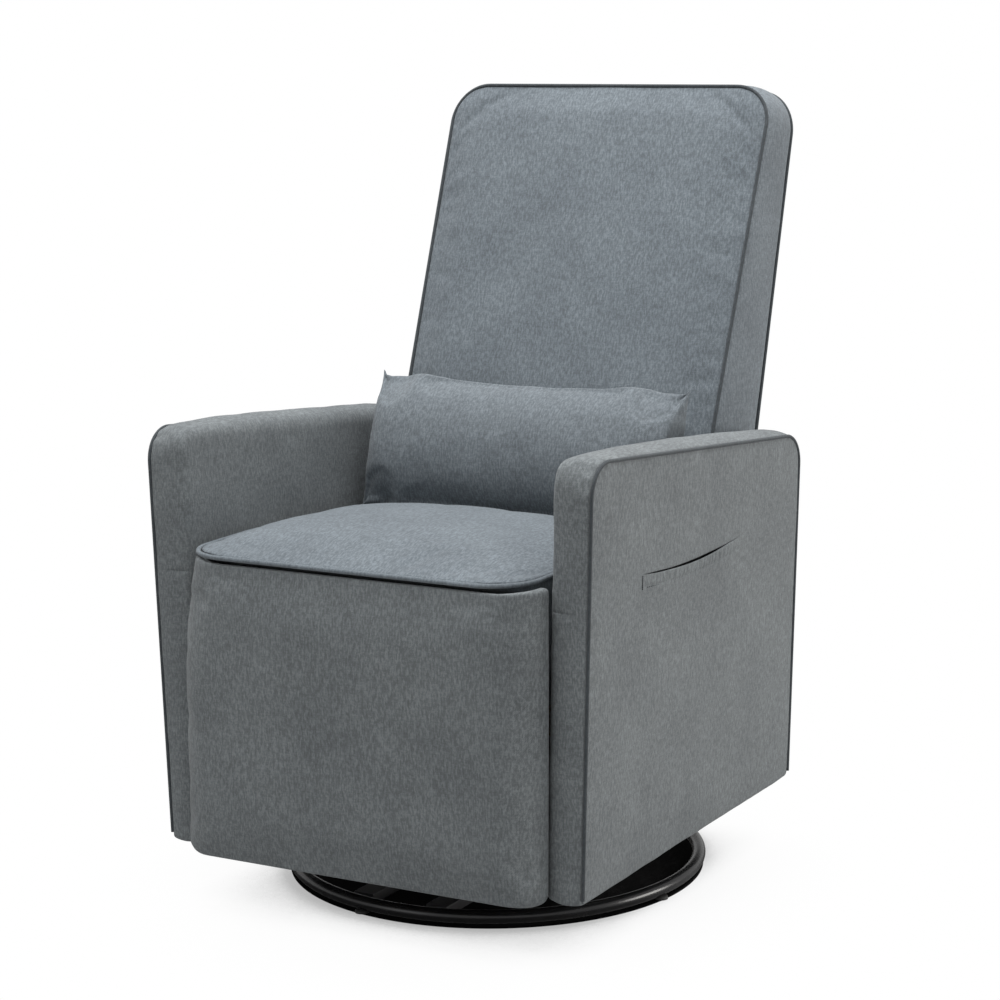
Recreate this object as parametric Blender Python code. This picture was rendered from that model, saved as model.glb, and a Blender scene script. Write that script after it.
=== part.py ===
"""Swivel glider recliner for a nursery, as separate pieces on their joints.

The chair faces -Y and stands on Z = 0.  A tube ring carries a hub and a ball bearing; a turntable
turns on it; four swing links hang the carriage from the turntable, so the seat glides; the backrest
and the footrest are hinged to the carriage.  Left and right are the sitter's: left is +X.

Every piece is modelled in the chair's own frame, whose Z axis is the swivel axis, and is parented to
an empty that stands on its joint's axis.  The chair frame sits at SWIVEL_Y in the world, which puts
the world origin under the middle of the whole chair.
"""

import math

import bmesh
import bpy
from mathutils import Vector

# ---------------------------------------------------------------- driving dimensions, metres
SWIVEL_Y = -0.0292
GAP = 0.0003

RING_RADIUS = 0.277
RING_TUBE = 0.009
FOOT_HEIGHT = 0.005
FOOT_RADIUS = 0.010
FOOT_TURN = math.radians(-10)
BASE_TUBE_OFFSET = 0.055
BASE_TUBE_WIDTH = 0.030
BASE_TUBE_HEIGHT = 0.014
HUB_RADIUS = 0.088
HUB_NECK = 0.052
RACE_RADIUS = 0.078
BOLT_RADIUS = 0.008
HUB_TOP = 0.052
HUB_FLANGE = 0.006
HUB_SHOULDER = 0.014
RACE_HEIGHT = 0.004
CAGE_HEIGHT = 0.008
CAGE_INNER = 0.044
CAGE_OUTER = 0.062
BOLT_HEAD_RADIUS = 0.015
BOLT_HEAD_HEIGHT = 0.005
SWIVEL_PLATE_RADIUS = 0.115

LINK_LENGTH = 0.120
LINK_WIDTH = 0.024
PLATE = 0.004
PIN_RADIUS = 0.005
PIN_HOLE = 0.0053
GLIDE_PIN_Y = 0.135
GLIDE_PIN_TOP = 0.222
SIDE_PLATE_X = 0.160
LINK_X = 0.168
BRACKET_X = 0.176
STUD_REACH = 0.001
STUD_ROOT = 0.010
BEAM_HALF_WIDTH = 0.020
GLIDE_BEAM_Y = 0.080
GLIDE_BEAM_HEIGHT = 0.024
GLIDE_PLATE_FOOT = 0.100
GLIDE_PLATE_END = 0.016
GLIDE_PLATE_OVER = 0.012
GLIDE_PLATE_UNDER = 0.030
BRACKET_END = 0.018
BRACKET_UNDER = 0.012
CARRIAGE_BEAM_LOW = 0.245
CARRIAGE_BEAM_Y = 0.120

SEAT_HALF = 0.2475
SEAT_TOP_HALF = 0.2590
SEAT_FRONT = -0.3775
SEAT_REAR = 0.097
SEAT_EDGE_Z = 0.466
SEAT_CROWN = 0.491
SEAT_FACE_GAP = 0.008
SEAT_FACE_CORNER = 0.010
SEAT_LIP_DROP = 0.019
SEAT_EDGE_SOFT = (0.0045, 0.001, 0.002)
SEAT_DOME_LOW = (0.004, 0.002, 0.003)
SEAT_DOME_HIGH = (0.014, 0.020, 0.040, 0.050)
SEAT_DOME_TOP = (0.070, 0.130, 0.060)
SEAT_WELT_END = 0.004
RAIL_BOTTOM = 0.268
RAIL_TOP = 0.310
RAIL_INNER = 0.185
RAIL_OUTER = 0.226
RAIL_FRONT = -0.300
RAIL_REAR = 0.2725
CROSS_RAIL = 0.026
CROSS_RAIL_REAR = 0.185
WEBBING_HALF = 0.180
WEBBING_THICK = 0.002
APRON_ROUND = 0.004

ARM_INNER = 0.2500
ARM_OUTER = 0.3040
ARM_LEAN = 0.0170
ARM_FRONT = -0.331
ARM_REAR = 0.298
ARM_BOTTOM = 0.081
ARM_TOP_FRONT = 0.628
ARM_TOP_REAR = 0.570
ARM_CORNER = 0.028
ARM_SKIN = 0.2880
ARM_BOARD = 0.0180
ARM_RIM = 0.0150
ARM_HOLLOW_BELOW = 0.020
ARM_PANEL_RISE = 0.001

POCKET_FRONT = -0.194
POCKET_REAR = 0.099
POCKET_BOTTOM = 0.285
POCKET_MOUTH_TOP = 0.4715
POCKET_MOUTH_LOW = 0.4635
POCKET_SKIN = 0.0030

RELEASE_Y = -0.150
RELEASE_Z = 0.480
RELEASE_HALF_Y = 0.046
RELEASE_HALF_Z = 0.034
RELEASE_DEPTH = 0.0145
RELEASE_WALL = 0.003
RELEASE_RIM = 0.002
RELEASE_PLAY = 0.0025
PADDLE_SIDE_PLAY = 0.001
PADDLE_FACE = 0.001
PADDLE_HINGE_BACK = 0.009
PADDLE_HINGE_DROP = 0.008
PADDLE_NECK = (0.005, 0.012)
PADDLE_FOOT = (0.006, 0.034)
PADDLE_PIN = (0.005, 0.004)

BACK_PIVOT_Y = 0.250
BACK_PIVOT_Z = 0.290
BACK_FRONT_Y = 0.141
BACK_FRONT_SLOPE = 0.402
BACK_REAR_Y = 0.309
BACK_REAR_SLOPE = 0.252
BACK_BASE_Z = 0.500
BACK_HALF = 0.2425
BACK_SPREAD = 0.0148
BACK_TOP_FRONT = 1.040
BACK_TOP_REAR = 1.018
BACK_LOW_FRONT = 0.400
BACK_LOW_REAR = 0.318
BACK_CORNER = 0.034
BACK_BRACKET_X = 0.2315
BACK_FOAM_DEPTHS = (0.07, 0.82)
BACK_BOARD_DEPTHS = (0.825, 0.905)
BACK_BOARD_INSET = 0.014
BACK_REAR_DEPTHS = (0.910, 0.930)
BACK_EYE = 0.016
BACK_TANG_REAR = (0.055, -0.031)
BACK_TANG_FRONT = (-0.020, 0.007)

PANEL_FRONT = -0.380
PANEL_BACK = -0.342
PANEL_LOW = 0.078
PANEL_TOP = 0.4595
PANEL_CORNER = 0.045
PANEL_HALF = 0.2590
PANEL_BOARD_HALF = 0.2415
PANEL_BOARD_LOW = 0.008
PANEL_BOARD_DROP = 0.028
TOE_PLATE_HALF = 0.045
TOE_EYE = 0.013
LIP_SLOPE = 0.42
BOARD_THICK = 0.012

LEG_PIVOT = (-0.263, 0.292)
LEG_KNEE = (-0.209, 0.126)
LEG_TOE = (-0.3015, 0.265)
LEG_REAR_X = 0.2315
LEG_FRONT_X = 0.2370
LEG_BRACKET_X = 0.2425
LEG_TUBE_SHARE = 0.90
LEG_TUBE = 0.009

PILLOW_CENTRE = (0.0, 0.082, 0.574)
PILLOW_LEAN = math.radians(20)
PILLOW_HALF = (0.232, 0.083, 0.066)

APRON_FRONT = 0.2745
APRON_REAR = 0.2960
APRON_TOP = 0.300
APRON_LOW = 0.090

WELT = 0.003
CHAMFER = 0.005
ROUND_SIDES = 16


# ---------------------------------------------------------------- scene and materials
def clear_scene():
    for obj in list(bpy.data.objects):
        bpy.data.objects.remove(obj)


def make_material(name, color, roughness, metallic=0.0):
    mat = bpy.data.materials.new(name)
    mat.use_nodes = True
    shader = mat.node_tree.nodes["Principled BSDF"]
    shader.inputs["Base Color"].default_value = (*color, 1.0)
    shader.inputs["Roughness"].default_value = roughness
    shader.inputs["Metallic"].default_value = metallic
    mat.diffuse_color = (*color, 1.0)
    return mat


MATERIALS = {
    "grey_tweed": ((0.155, 0.185, 0.205), 0.95, 0.0),
    "grey_welt": ((0.095, 0.115, 0.130), 0.95, 0.0),
    "black_gloss_steel": ((0.012, 0.012, 0.013), 0.22, 0.6),
    "black_satin_steel": ((0.030, 0.030, 0.032), 0.45, 0.6),
    "zinc_steel": ((0.55, 0.55, 0.56), 0.35, 1.0),
    "plywood": ((0.50, 0.36, 0.21), 0.70, 0.0),
    "webbing": ((0.09, 0.085, 0.08), 0.90, 0.0),
    "black_plastic": ((0.020, 0.020, 0.021), 0.50, 0.0),
}


# ---------------------------------------------------------------- joint empties
class Body:
    """An empty on a joint's axis, at a place in the chair's frame."""

    def __init__(self, name, pivot, parent=None):
        self.pivot = Vector(pivot)
        self.empty = bpy.data.objects.new("joint_" + name, None)
        bpy.context.scene.collection.objects.link(self.empty)
        if parent is None:
            self.empty.location = self.pivot + Vector((0.0, SWIVEL_Y, 0.0))
        else:
            self.empty.parent = parent.empty
            self.empty.location = self.pivot - parent.pivot


def add_piece(name, mesh_data, body, look, smooth_angle=None, faces_out=False):
    """Puts a bmesh, drawn in the chair's frame, under its body's empty."""
    if not faces_out:
        bmesh.ops.recalc_face_normals(mesh_data, faces=mesh_data.faces)
    bmesh.ops.translate(mesh_data, verts=mesh_data.verts, vec=-body.pivot)
    mesh = bpy.data.meshes.new(name)
    mesh_data.to_mesh(mesh)
    mesh_data.free()
    if smooth_angle is not None:
        mesh.shade_smooth()
        mesh.set_sharp_from_angle(angle=math.radians(smooth_angle))
    obj = bpy.data.objects.new(name, mesh)
    bpy.context.scene.collection.objects.link(obj)
    obj.parent = body.empty
    color, roughness, metallic = MATERIALS[look]
    obj.data.materials.append(make_material(name + "_" + look, color, roughness, metallic))
    return obj


def add_cutter(name, mesh_data, body):
    """A hidden shape that a Boolean takes away from a piece."""
    cutter = add_piece(name, mesh_data, body, "black_plastic")
    cutter.hide_render = True
    cutter.display_type = "WIRE"
    return cutter


def boolean(obj, other, operation):
    modifier = obj.modifiers.new(operation.lower(), "BOOLEAN")
    modifier.operation = operation
    modifier.object = other
    modifier.solver = "EXACT"


def soften(obj, width, segments=2):
    modifier = obj.modifiers.new("edge_round", "BEVEL")
    modifier.width = width
    modifier.segments = segments
    modifier.limit_method = "ANGLE"
    modifier.angle_limit = math.radians(40)


# ---------------------------------------------------------------- mesh makers
def box(low, high):
    bm = bmesh.new()
    bmesh.ops.create_cube(bm, size=1.0)
    low, high = Vector(low), Vector(high)
    size = high - low
    bmesh.ops.scale(bm, verts=bm.verts, vec=size)
    bmesh.ops.translate(bm, verts=bm.verts, vec=(low + high) / 2)
    return bm


def loft(loops):
    """A closed body through loops of equal length, with a flat cap at each end."""
    bm = bmesh.new()
    rings = [[bm.verts.new(point) for point in loop] for loop in loops]
    count = len(rings[0])
    for lower, upper in zip(rings, rings[1:]):
        for i in range(count):
            j = (i + 1) % count
            bm.faces.new((lower[i], lower[j], upper[j], upper[i]))
    bm.faces.new(list(reversed(rings[0])))
    bm.faces.new(rings[-1])
    return bm


def turned(profile, steps):
    """A ring whose closed (radius, height) profile goes round the swivel axis."""
    bm = bmesh.new()
    rings = []
    for i in range(steps):
        angle = 2 * math.pi * i / steps
        c, s = math.cos(angle), math.sin(angle)
        rings.append([bm.verts.new((r * c, r * s, z)) for r, z in profile])
    for i in range(steps):
        near, far = rings[i], rings[(i + 1) % steps]
        for k in range(len(profile)):
            m = (k + 1) % len(profile)
            bm.faces.new((near[k], near[m], far[m], far[k]))
    return bm


def disc_ring(inner, outer, low, high, steps=32):
    return turned([(inner, low), (outer, low), (outer, high), (inner, high)], steps)


def round_bar(axis, start, end, across, radius, sides=ROUND_SIDES):
    """A round bar along X or Z from start to end; across is its place in the other two axes."""
    loops = []
    for along in (start, end):
        loop = []
        for i in range(sides):
            angle = 2 * math.pi * (i + 0.5) / sides
            u = across[0] + radius * math.cos(angle)
            v = across[1] + radius * math.sin(angle)
            loop.append((along, u, v) if axis == "X" else (u, v, along))
        loops.append(loop)
    return loft(loops)


def arc(centre, radius, start_deg, end_deg, steps):
    points = []
    for i in range(steps + 1):
        angle = math.radians(start_deg + (end_deg - start_deg) * i / steps)
        points.append((centre[0] + radius * math.cos(angle), centre[1] + radius * math.sin(angle)))
    return points


def flat_bar(x_mid, start, end, width=LINK_WIDTH, steps=6):
    """A flat bar with round ends, on edge in the YZ plane, from pivot to pivot."""
    heading = math.degrees(math.atan2(end[1] - start[1], end[0] - start[0]))
    outline = arc(end, width / 2, heading - 90, heading + 90, steps)
    outline += arc(start, width / 2, heading + 90, heading + 270, steps)
    return loft([[(x, y, z) for y, z in outline] for x in (x_mid - PLATE / 2, x_mid + PLATE / 2)])


def side_prism(profile, x_low, x_high):
    return loft([[(x, y, z) for y, z in profile] for x in (x_low, x_high)])


def add_link(name, x_mid, start, end, holes, body):
    """A flat link from start to end with a pin hole at each place in holes."""
    link = add_piece(name, flat_bar(x_mid, start, end), body, "zinc_steel", 40)
    for label, place in zip("ab", holes):
        bar = round_bar("X", x_mid - 2 * PLATE, x_mid + 2 * PLATE, place, PIN_HOLE)
        boolean(link, add_cutter(name + "_hole_" + label, bar, body), "DIFFERENCE")
    return link


def add_stud(obj, name, x_low, x_high, place, body):
    """A round stud welded to a plate."""
    stud = add_cutter(name, round_bar("X", x_low, x_high, place, PIN_RADIUS), body)
    boolean(obj, stud, "UNION")


def plan_outline(half, front, rear, corner, steps=6, corner_depth=None):
    """The seat's outline from above, with rounded front corners, as (x, y) points."""
    depth = corner if corner_depth is None else corner_depth
    right = []
    for i in range(steps + 1):
        angle = math.pi / 2 * i / steps
        x = half - corner + corner * math.cos(angle)
        y = front + depth - depth * math.sin(angle)
        right.append((x, y))
    left = [(-x, y) for x, y in reversed(right)]
    return [(half, rear)] + right + left + [(-half, rear)]


def add_welt(name, points, body, closed=False):
    """A sewn cord: a thin round tube along points in the chair's frame."""
    curve = bpy.data.curves.new(name, "CURVE")
    curve.dimensions = "3D"
    curve.bevel_depth = WELT
    curve.bevel_resolution = 1
    curve.use_fill_caps = True
    spline = curve.splines.new("POLY")
    spline.points.add(len(points) - 1)
    for slot, point in zip(spline.points, points):
        slot.co = (*(Vector(point) - body.pivot), 1.0)
    spline.use_cyclic_u = closed
    obj = bpy.data.objects.new(name, curve)
    bpy.context.scene.collection.objects.link(obj)
    obj.parent = body.empty
    color, roughness, metallic = MATERIALS["grey_welt"]
    curve.materials.append(make_material(name + "_grey_welt", color, roughness, metallic))


# ---------------------------------------------------------------- standing base
def build_base(base):
    tube_mid = FOOT_HEIGHT + RING_TUBE
    section = [
        (RING_RADIUS + RING_TUBE * math.cos(a), tube_mid + RING_TUBE * math.sin(a))
        for a in (2 * math.pi * k / 8 for k in range(8))
    ]
    add_piece("base_ring", turned(section, 64), base, "black_gloss_steel", 60)
    for i in range(4):
        angle = FOOT_TURN + i * math.pi / 2
        place = (RING_RADIUS * math.cos(angle), RING_RADIUS * math.sin(angle))
        foot = round_bar("Z", 0.0, FOOT_HEIGHT - GAP, place, FOOT_RADIUS)
        add_piece(f"base_foot_{i + 1}", foot, base, "black_plastic", 40)

    tube_low = tube_mid - BASE_TUBE_HEIGHT / 2
    tube_high = tube_mid + BASE_TUBE_HEIGHT / 2
    far_edge = BASE_TUBE_OFFSET + BASE_TUBE_WIDTH / 2
    reach = math.sqrt((RING_RADIUS - RING_TUBE - 2 * GAP) ** 2 - far_edge**2)
    for name, x in (("base_tube_right", -BASE_TUBE_OFFSET), ("base_tube_left", BASE_TUBE_OFFSET)):
        low = (x - BASE_TUBE_WIDTH / 2, -reach, tube_low)
        high = (x + BASE_TUBE_WIDTH / 2, reach, tube_high)
        add_piece(name, box(low, high), base, "black_satin_steel")

    hub_low = tube_high + GAP
    hub = [
        (BOLT_RADIUS + GAP, hub_low),
        (HUB_RADIUS, hub_low),
        (HUB_RADIUS, hub_low + HUB_FLANGE),
        (HUB_NECK, hub_low + HUB_SHOULDER),
        (HUB_NECK, HUB_TOP),
        (BOLT_RADIUS + GAP, HUB_TOP),
    ]
    add_piece("base_hub", turned(hub, 32), base, "black_satin_steel", 40)
    race_low = HUB_TOP + GAP
    race_high = race_low + RACE_HEIGHT
    race = disc_ring(BOLT_RADIUS + GAP, RACE_RADIUS, race_low, race_high)
    add_piece("bearing_lower_race", race, base, "zinc_steel", 40)
    cage = disc_ring(CAGE_INNER, CAGE_OUTER, race_high + GAP, race_high + GAP + CAGE_HEIGHT)
    add_piece("bearing_ball_cage", cage, base, "zinc_steel", 40)
    plate_low = race_high + 2 * GAP + CAGE_HEIGHT
    head_low = plate_low + PLATE + GAP
    bolt = turned_bolt(hub_low, head_low)
    add_piece("swivel_bolt", bolt, base, "zinc_steel", 40)
    return plate_low


def turned_bolt(low, head_low, sides=ROUND_SIDES):
    """The king bolt: a plain shank under a flat round head."""
    heights = [
        (BOLT_RADIUS - GAP, low),
        (BOLT_RADIUS - GAP, head_low),
        (BOLT_HEAD_RADIUS, head_low),
        (BOLT_HEAD_RADIUS, head_low + BOLT_HEAD_HEIGHT),
    ]
    loops = []
    for radius, z in heights:
        step = 2 * math.pi / sides
        turns = [i * step for i in range(sides)]
        loops.append([(radius * math.cos(turn), radius * math.sin(turn), z) for turn in turns])
    return loft(loops)


# ---------------------------------------------------------------- turntable and swing links
def build_turntable(turntable, plate_low):
    plate_high = plate_low + PLATE
    plate = disc_ring(BOLT_RADIUS + GAP, SWIVEL_PLATE_RADIUS, plate_low, plate_high)
    add_piece("swivel_plate", plate, turntable, "black_satin_steel", 40)
    beam_low = plate_high + GAP
    beam_high = beam_low + GLIDE_BEAM_HEIGHT
    for name, y in (("glide_beam_front", -GLIDE_BEAM_Y), ("glide_beam_rear", GLIDE_BEAM_Y)):
        low = (-SIDE_PLATE_X + PLATE / 2 + GAP, y - BEAM_HALF_WIDTH, beam_low)
        high = (SIDE_PLATE_X - PLATE / 2 - GAP, y + BEAM_HALF_WIDTH, beam_high)
        add_piece(name, box(low, high), turntable, "black_satin_steel")
    end = GLIDE_PIN_Y + GLIDE_PLATE_END
    profile = [
        (-GLIDE_PLATE_FOOT, beam_low),
        (GLIDE_PLATE_FOOT, beam_low),
        (end, GLIDE_PIN_TOP - GLIDE_PLATE_UNDER),
        (end, GLIDE_PIN_TOP + GLIDE_PLATE_OVER),
        (-end, GLIDE_PIN_TOP + GLIDE_PLATE_OVER),
        (-end, GLIDE_PIN_TOP - GLIDE_PLATE_UNDER),
    ]
    for side, name in ((1, "left"), (-1, "right")):
        inner = side * (SIDE_PLATE_X - PLATE / 2)
        outer = side * (SIDE_PLATE_X + PLATE / 2)
        plate = side_prism(profile, inner, outer)
        obj = add_piece("glide_side_plate_" + name, plate, turntable, "black_satin_steel")
        for label, y in (("front", -GLIDE_PIN_Y), ("rear", GLIDE_PIN_Y)):
            ends = (side * SIDE_PLATE_X, side * (LINK_X + PLATE / 2 + 2 * STUD_REACH))
            place = (y, GLIDE_PIN_TOP)
            add_stud(obj, f"upper_stud_{name}_{label}", *ends, place, turntable)


def build_swing_link(name, body, side, y):
    top = (y, GLIDE_PIN_TOP)
    bottom = (y, GLIDE_PIN_TOP - LINK_LENGTH)
    add_link(name, side * LINK_X, top, bottom, (top, bottom), body)


# ---------------------------------------------------------------- carriage and seat
def build_carriage(carriage):
    pin_low = GLIDE_PIN_TOP - LINK_LENGTH
    beam_low = CARRIAGE_BEAM_LOW
    end = GLIDE_PIN_Y + BRACKET_END
    profile = [
        (-end, pin_low - BRACKET_UNDER),
        (end, pin_low - BRACKET_UNDER),
        (end, beam_low - GAP),
        (-end, beam_low - GAP),
    ]
    for side, name in ((1, "left"), (-1, "right")):
        near, far = side * (BRACKET_X - PLATE / 2), side * (BRACKET_X + PLATE / 2)
        bracket = side_prism(profile, near, far)
        obj = add_piece("carriage_bracket_" + name, bracket, carriage, "black_satin_steel")
        for label, y in (("front", -GLIDE_PIN_Y), ("rear", GLIDE_PIN_Y)):
            ends = (side * BRACKET_X, side * (LINK_X - PLATE / 2 - STUD_REACH - GAP))
            add_stud(obj, f"lower_stud_{name}_{label}", *ends, (y, pin_low), carriage)
    for name, y in (("carriage_beam_front", -CARRIAGE_BEAM_Y), ("carriage_beam_rear", CARRIAGE_BEAM_Y)):
        low = (-RAIL_OUTER, y - BEAM_HALF_WIDTH, beam_low)
        high = (RAIL_OUTER, y + BEAM_HALF_WIDTH, RAIL_BOTTOM - GAP)
        add_piece(name, box(low, high), carriage, "black_satin_steel")

    for side, name in ((1, "left"), (-1, "right")):
        x_range = sorted((side * RAIL_INNER, side * RAIL_OUTER))
        rail = box((x_range[0], RAIL_FRONT, RAIL_BOTTOM), (x_range[1], RAIL_REAR, RAIL_TOP))
        obj = add_piece("seat_rail_" + name, rail, carriage, "plywood")
        back_pin = (BACK_PIVOT_Y, BACK_PIVOT_Z)
        for label, place in (("back", back_pin), ("leg", LEG_PIVOT)):
            ends = (side * (RAIL_OUTER - STUD_ROOT), side * (LEG_REAR_X + PLATE / 2 + STUD_REACH))
            add_stud(obj, f"{label}_stud_{name}", *ends, place, carriage)
    inner = RAIL_INNER - GAP
    front = box((-inner, RAIL_FRONT, RAIL_BOTTOM), (inner, RAIL_FRONT + CROSS_RAIL, RAIL_TOP))
    add_piece("seat_rail_front", front, carriage, "plywood")
    rear_high = (inner, CROSS_RAIL_REAR + CROSS_RAIL, RAIL_TOP)
    rear = box((-inner, CROSS_RAIL_REAR, RAIL_BOTTOM), rear_high)
    add_piece("seat_rail_rear", rear, carriage, "plywood")
    deck_low = RAIL_TOP + GAP
    deck_rear = CROSS_RAIL_REAR + CROSS_RAIL - WEBBING_THICK
    deck_high = (WEBBING_HALF, deck_rear, deck_low + WEBBING_THICK)
    deck = box((-WEBBING_HALF, RAIL_FRONT + 2 * WEBBING_THICK, deck_low), deck_high)
    add_piece("seat_webbing", deck, carriage, "webbing")
    build_seat_cushion(carriage, deck_low + WEBBING_THICK + GAP)

    apron = box((-SEAT_HALF, APRON_FRONT, APRON_LOW), (SEAT_HALF, APRON_REAR, APRON_TOP))
    soften(add_piece("rear_apron", apron, carriage, "grey_tweed"), APRON_ROUND)


def build_seat_cushion(carriage, bottom):
    """A boxed foam seat whose front edge reaches out over the footrest."""
    face = PANEL_BACK + BOARD_THICK + SEAT_FACE_GAP
    lip_low = PANEL_TOP - SEAT_LIP_DROP
    inset = SEAT_TOP_HALF - SEAT_HALF
    under, under_in, under_back = SEAT_EDGE_SOFT
    low, low_in, low_back = SEAT_DOME_LOW
    high, high_in, high_back, high_corner = SEAT_DOME_HIGH
    top_in, top_back, top_corner = SEAT_DOME_TOP
    levels = [
        (bottom, inset, face, SEAT_FACE_CORNER),
        (lip_low, inset, face, SEAT_FACE_CORNER),
        (SEAT_EDGE_Z - under, under_in, SEAT_FRONT + under_back, PANEL_CORNER),
        (SEAT_EDGE_Z, 0.0, SEAT_FRONT, PANEL_CORNER),
        (SEAT_EDGE_Z + low, low_in, SEAT_FRONT + low_back, PANEL_CORNER),
        (SEAT_EDGE_Z + high, high_in, SEAT_FRONT + high_back, high_corner),
        (SEAT_CROWN, top_in, SEAT_FRONT + top_back, top_corner),
    ]
    loops = []
    for z, inset, front, corner in levels:
        outline = plan_outline(SEAT_TOP_HALF - inset, front, SEAT_REAR - inset, corner)
        loops.append([(x, y, z) for x, y in outline])
    add_piece("seat_cushion", loft(loops), carriage, "grey_tweed", 35)

    out = WELT + GAP
    start = plan_outline(SEAT_TOP_HALF + out, SEAT_FRONT - out, ARM_FRONT, PANEL_CORNER + out, 8)
    welt = [(x, y, SEAT_EDGE_Z) for x, y in start[1:-1]]
    add_welt("seat_front_welt", [p for p in welt if p[1] < ARM_FRONT - SEAT_WELT_END], carriage)


# ---------------------------------------------------------------- arms
def arm_top(y):
    """Height of the arm's sloping top at y."""
    share = (y - ARM_FRONT) / (ARM_REAR - ARM_FRONT)
    return ARM_TOP_FRONT + (ARM_TOP_REAR - ARM_TOP_FRONT) * share


def arm_lean(z):
    """How far the arm has leaned outwards at height z."""
    return ARM_LEAN * (z - ARM_BOTTOM) / (ARM_TOP_FRONT - ARM_BOTTOM)


def arm_face(z):
    """Distance from the middle of the chair to the arm's outer face at height z."""
    return ARM_OUTER + arm_lean(z)


def lean_out(bm, side):
    """Shears an upright arm piece, so that it leans outwards as the arm does."""
    for vert in bm.verts:
        vert.co.x += side * arm_lean(vert.co.z)
    return bm


def arm_outline(inset=0.0, steps=5, low=ARM_BOTTOM):
    """The arm seen from the side, as (y, z) points, from the front foot over the top to the rear."""
    front, rear = ARM_FRONT + inset, ARM_REAR - inset
    corner = ARM_CORNER - inset * 0.5
    tilt = math.degrees(math.atan2(ARM_TOP_REAR - ARM_TOP_FRONT, ARM_REAR - ARM_FRONT))
    lean = math.tan(math.radians(tilt))
    front_mid = (front + corner, arm_top(front) - inset - corner + corner * lean)
    rear_mid = (rear - corner, arm_top(rear) - inset - corner - corner * lean)
    points = [(front, low)]
    points += arc(front_mid, corner, 180, 90 + tilt, steps)
    points += arc(rear_mid, corner, 90 + tilt, 0, steps)
    points.append((rear, low))
    return points


def build_arm(name, side, carriage):
    board_low, board_high = ARM_SKIN - ARM_BOARD, ARM_SKIN - GAP
    outline = arm_outline()
    pad = lean_out(side_prism(outline, side * ARM_INNER, side * ARM_SKIN), side)
    pad = add_piece(f"arm_{name}_pad", pad, carriage, "grey_tweed", 35)
    hollow = arm_outline(ARM_RIM - GAP, low=ARM_BOTTOM - ARM_HOLLOW_BELOW)
    hollow = side_prism(hollow, side * (board_low - GAP), side * (ARM_SKIN + ARM_RIM))
    boolean(pad, add_cutter(f"arm_{name}_hollow", lean_out(hollow, side), carriage), "DIFFERENCE")

    board = arm_outline(ARM_RIM, low=ARM_BOTTOM + CHAMFER)
    board = lean_out(side_prism(board, side * board_low, side * board_high), side)
    add_piece(f"arm_{name}_board", board, carriage, "plywood", 35)

    full = arm_outline()
    small = arm_outline(CHAMFER, low=ARM_BOTTOM + ARM_PANEL_RISE)
    loops = [
        [(side * (ARM_SKIN + GAP + arm_lean(z)), y, z) for y, z in full],
        [(side * (arm_face(z) - CHAMFER), y, z) for y, z in full],
        [(side * arm_face(z), y, z) for y, z in small],
    ]
    panel = add_piece(f"arm_{name}_outer_panel", loft(loops), carriage, "grey_tweed", 35)
    path = [(side * arm_face(z), y, z) for y, z in arm_outline(steps=6)]
    add_welt(f"arm_{name}_welt", path, carriage)
    return panel


def build_pocket(panel, carriage):
    """A magazine pocket in the left arm: a slit mouth over a flat bag."""
    low = (ARM_SKIN - ARM_BOARD, POCKET_FRONT, POCKET_BOTTOM)
    high = (ARM_OUTER + ARM_BOARD, POCKET_REAR, POCKET_MOUTH_TOP)
    space = lean_out(box(low, high), 1)
    boolean(panel, add_cutter("pocket_space", space, carriage), "DIFFERENCE")
    front, rear = POCKET_FRONT + GAP, POCKET_REAR - GAP
    bottom, top = POCKET_BOTTOM + GAP, POCKET_MOUTH_LOW
    loops = []
    for back in (POCKET_SKIN, 0.0):
        corners = ((front, bottom), (rear, bottom), (rear, top), (front, top))
        loops.append([(arm_face(z) - back, y, z) for y, z in corners])
    add_piece("arm_left_pocket_front", loft(loops), carriage, "grey_tweed")


def build_release_cup(panel, carriage):
    """The recessed cup in the right arm that holds the recline release."""
    y_low, y_high = RELEASE_Y - RELEASE_HALF_Y, RELEASE_Y + RELEASE_HALF_Y
    z_low, z_high = RELEASE_Z - RELEASE_HALF_Z, RELEASE_Z + RELEASE_HALF_Z
    face = arm_face(RELEASE_Z)
    hole_low = (-face - ARM_BOARD, y_low - GAP, z_low - GAP)
    hole = box(hole_low, (-ARM_SKIN, y_high + GAP, z_high + GAP))
    boolean(panel, add_cutter("release_hole", hole, carriage), "DIFFERENCE")
    floor = face - RELEASE_DEPTH
    cup = box((-face - RELEASE_RIM, y_low, z_low), (-floor, y_high, z_high))
    cup = add_piece("release_cup", cup, carriage, "black_plastic")
    wall = RELEASE_WALL
    low = (-face - RELEASE_DEPTH, y_low + wall, z_low + wall)
    high = (-floor - wall, y_high - wall, z_high - wall)
    boolean(cup, add_cutter("release_cup_space", box(low, high), carriage), "DIFFERENCE")


def build_release_paddle(paddle):
    """The flap in the cup's upper half, hinged along its top edge."""
    face = arm_face(RELEASE_Z)
    half_y = RELEASE_HALF_Y - RELEASE_WALL - PADDLE_SIDE_PLAY
    top = RELEASE_Z + RELEASE_HALF_Z - RELEASE_WALL - RELEASE_PLAY
    neck_in, neck_drop = PADDLE_NECK
    foot_in, foot_drop = PADDLE_FOOT
    profile = [
        (-face + PADDLE_FACE, top),
        (-face + PADDLE_HINGE_BACK, top),
        (-face + PADDLE_HINGE_BACK, top - PADDLE_HINGE_DROP),
        (-face + neck_in, top - neck_drop),
        (-face + foot_in, top - foot_drop),
        (-face + PADDLE_FACE, top - foot_drop),
    ]
    loops = [[(x, RELEASE_Y + y, z) for x, z in profile] for y in (-half_y, half_y)]
    add_piece("release_paddle", loft(loops), paddle, "black_plastic")


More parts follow.
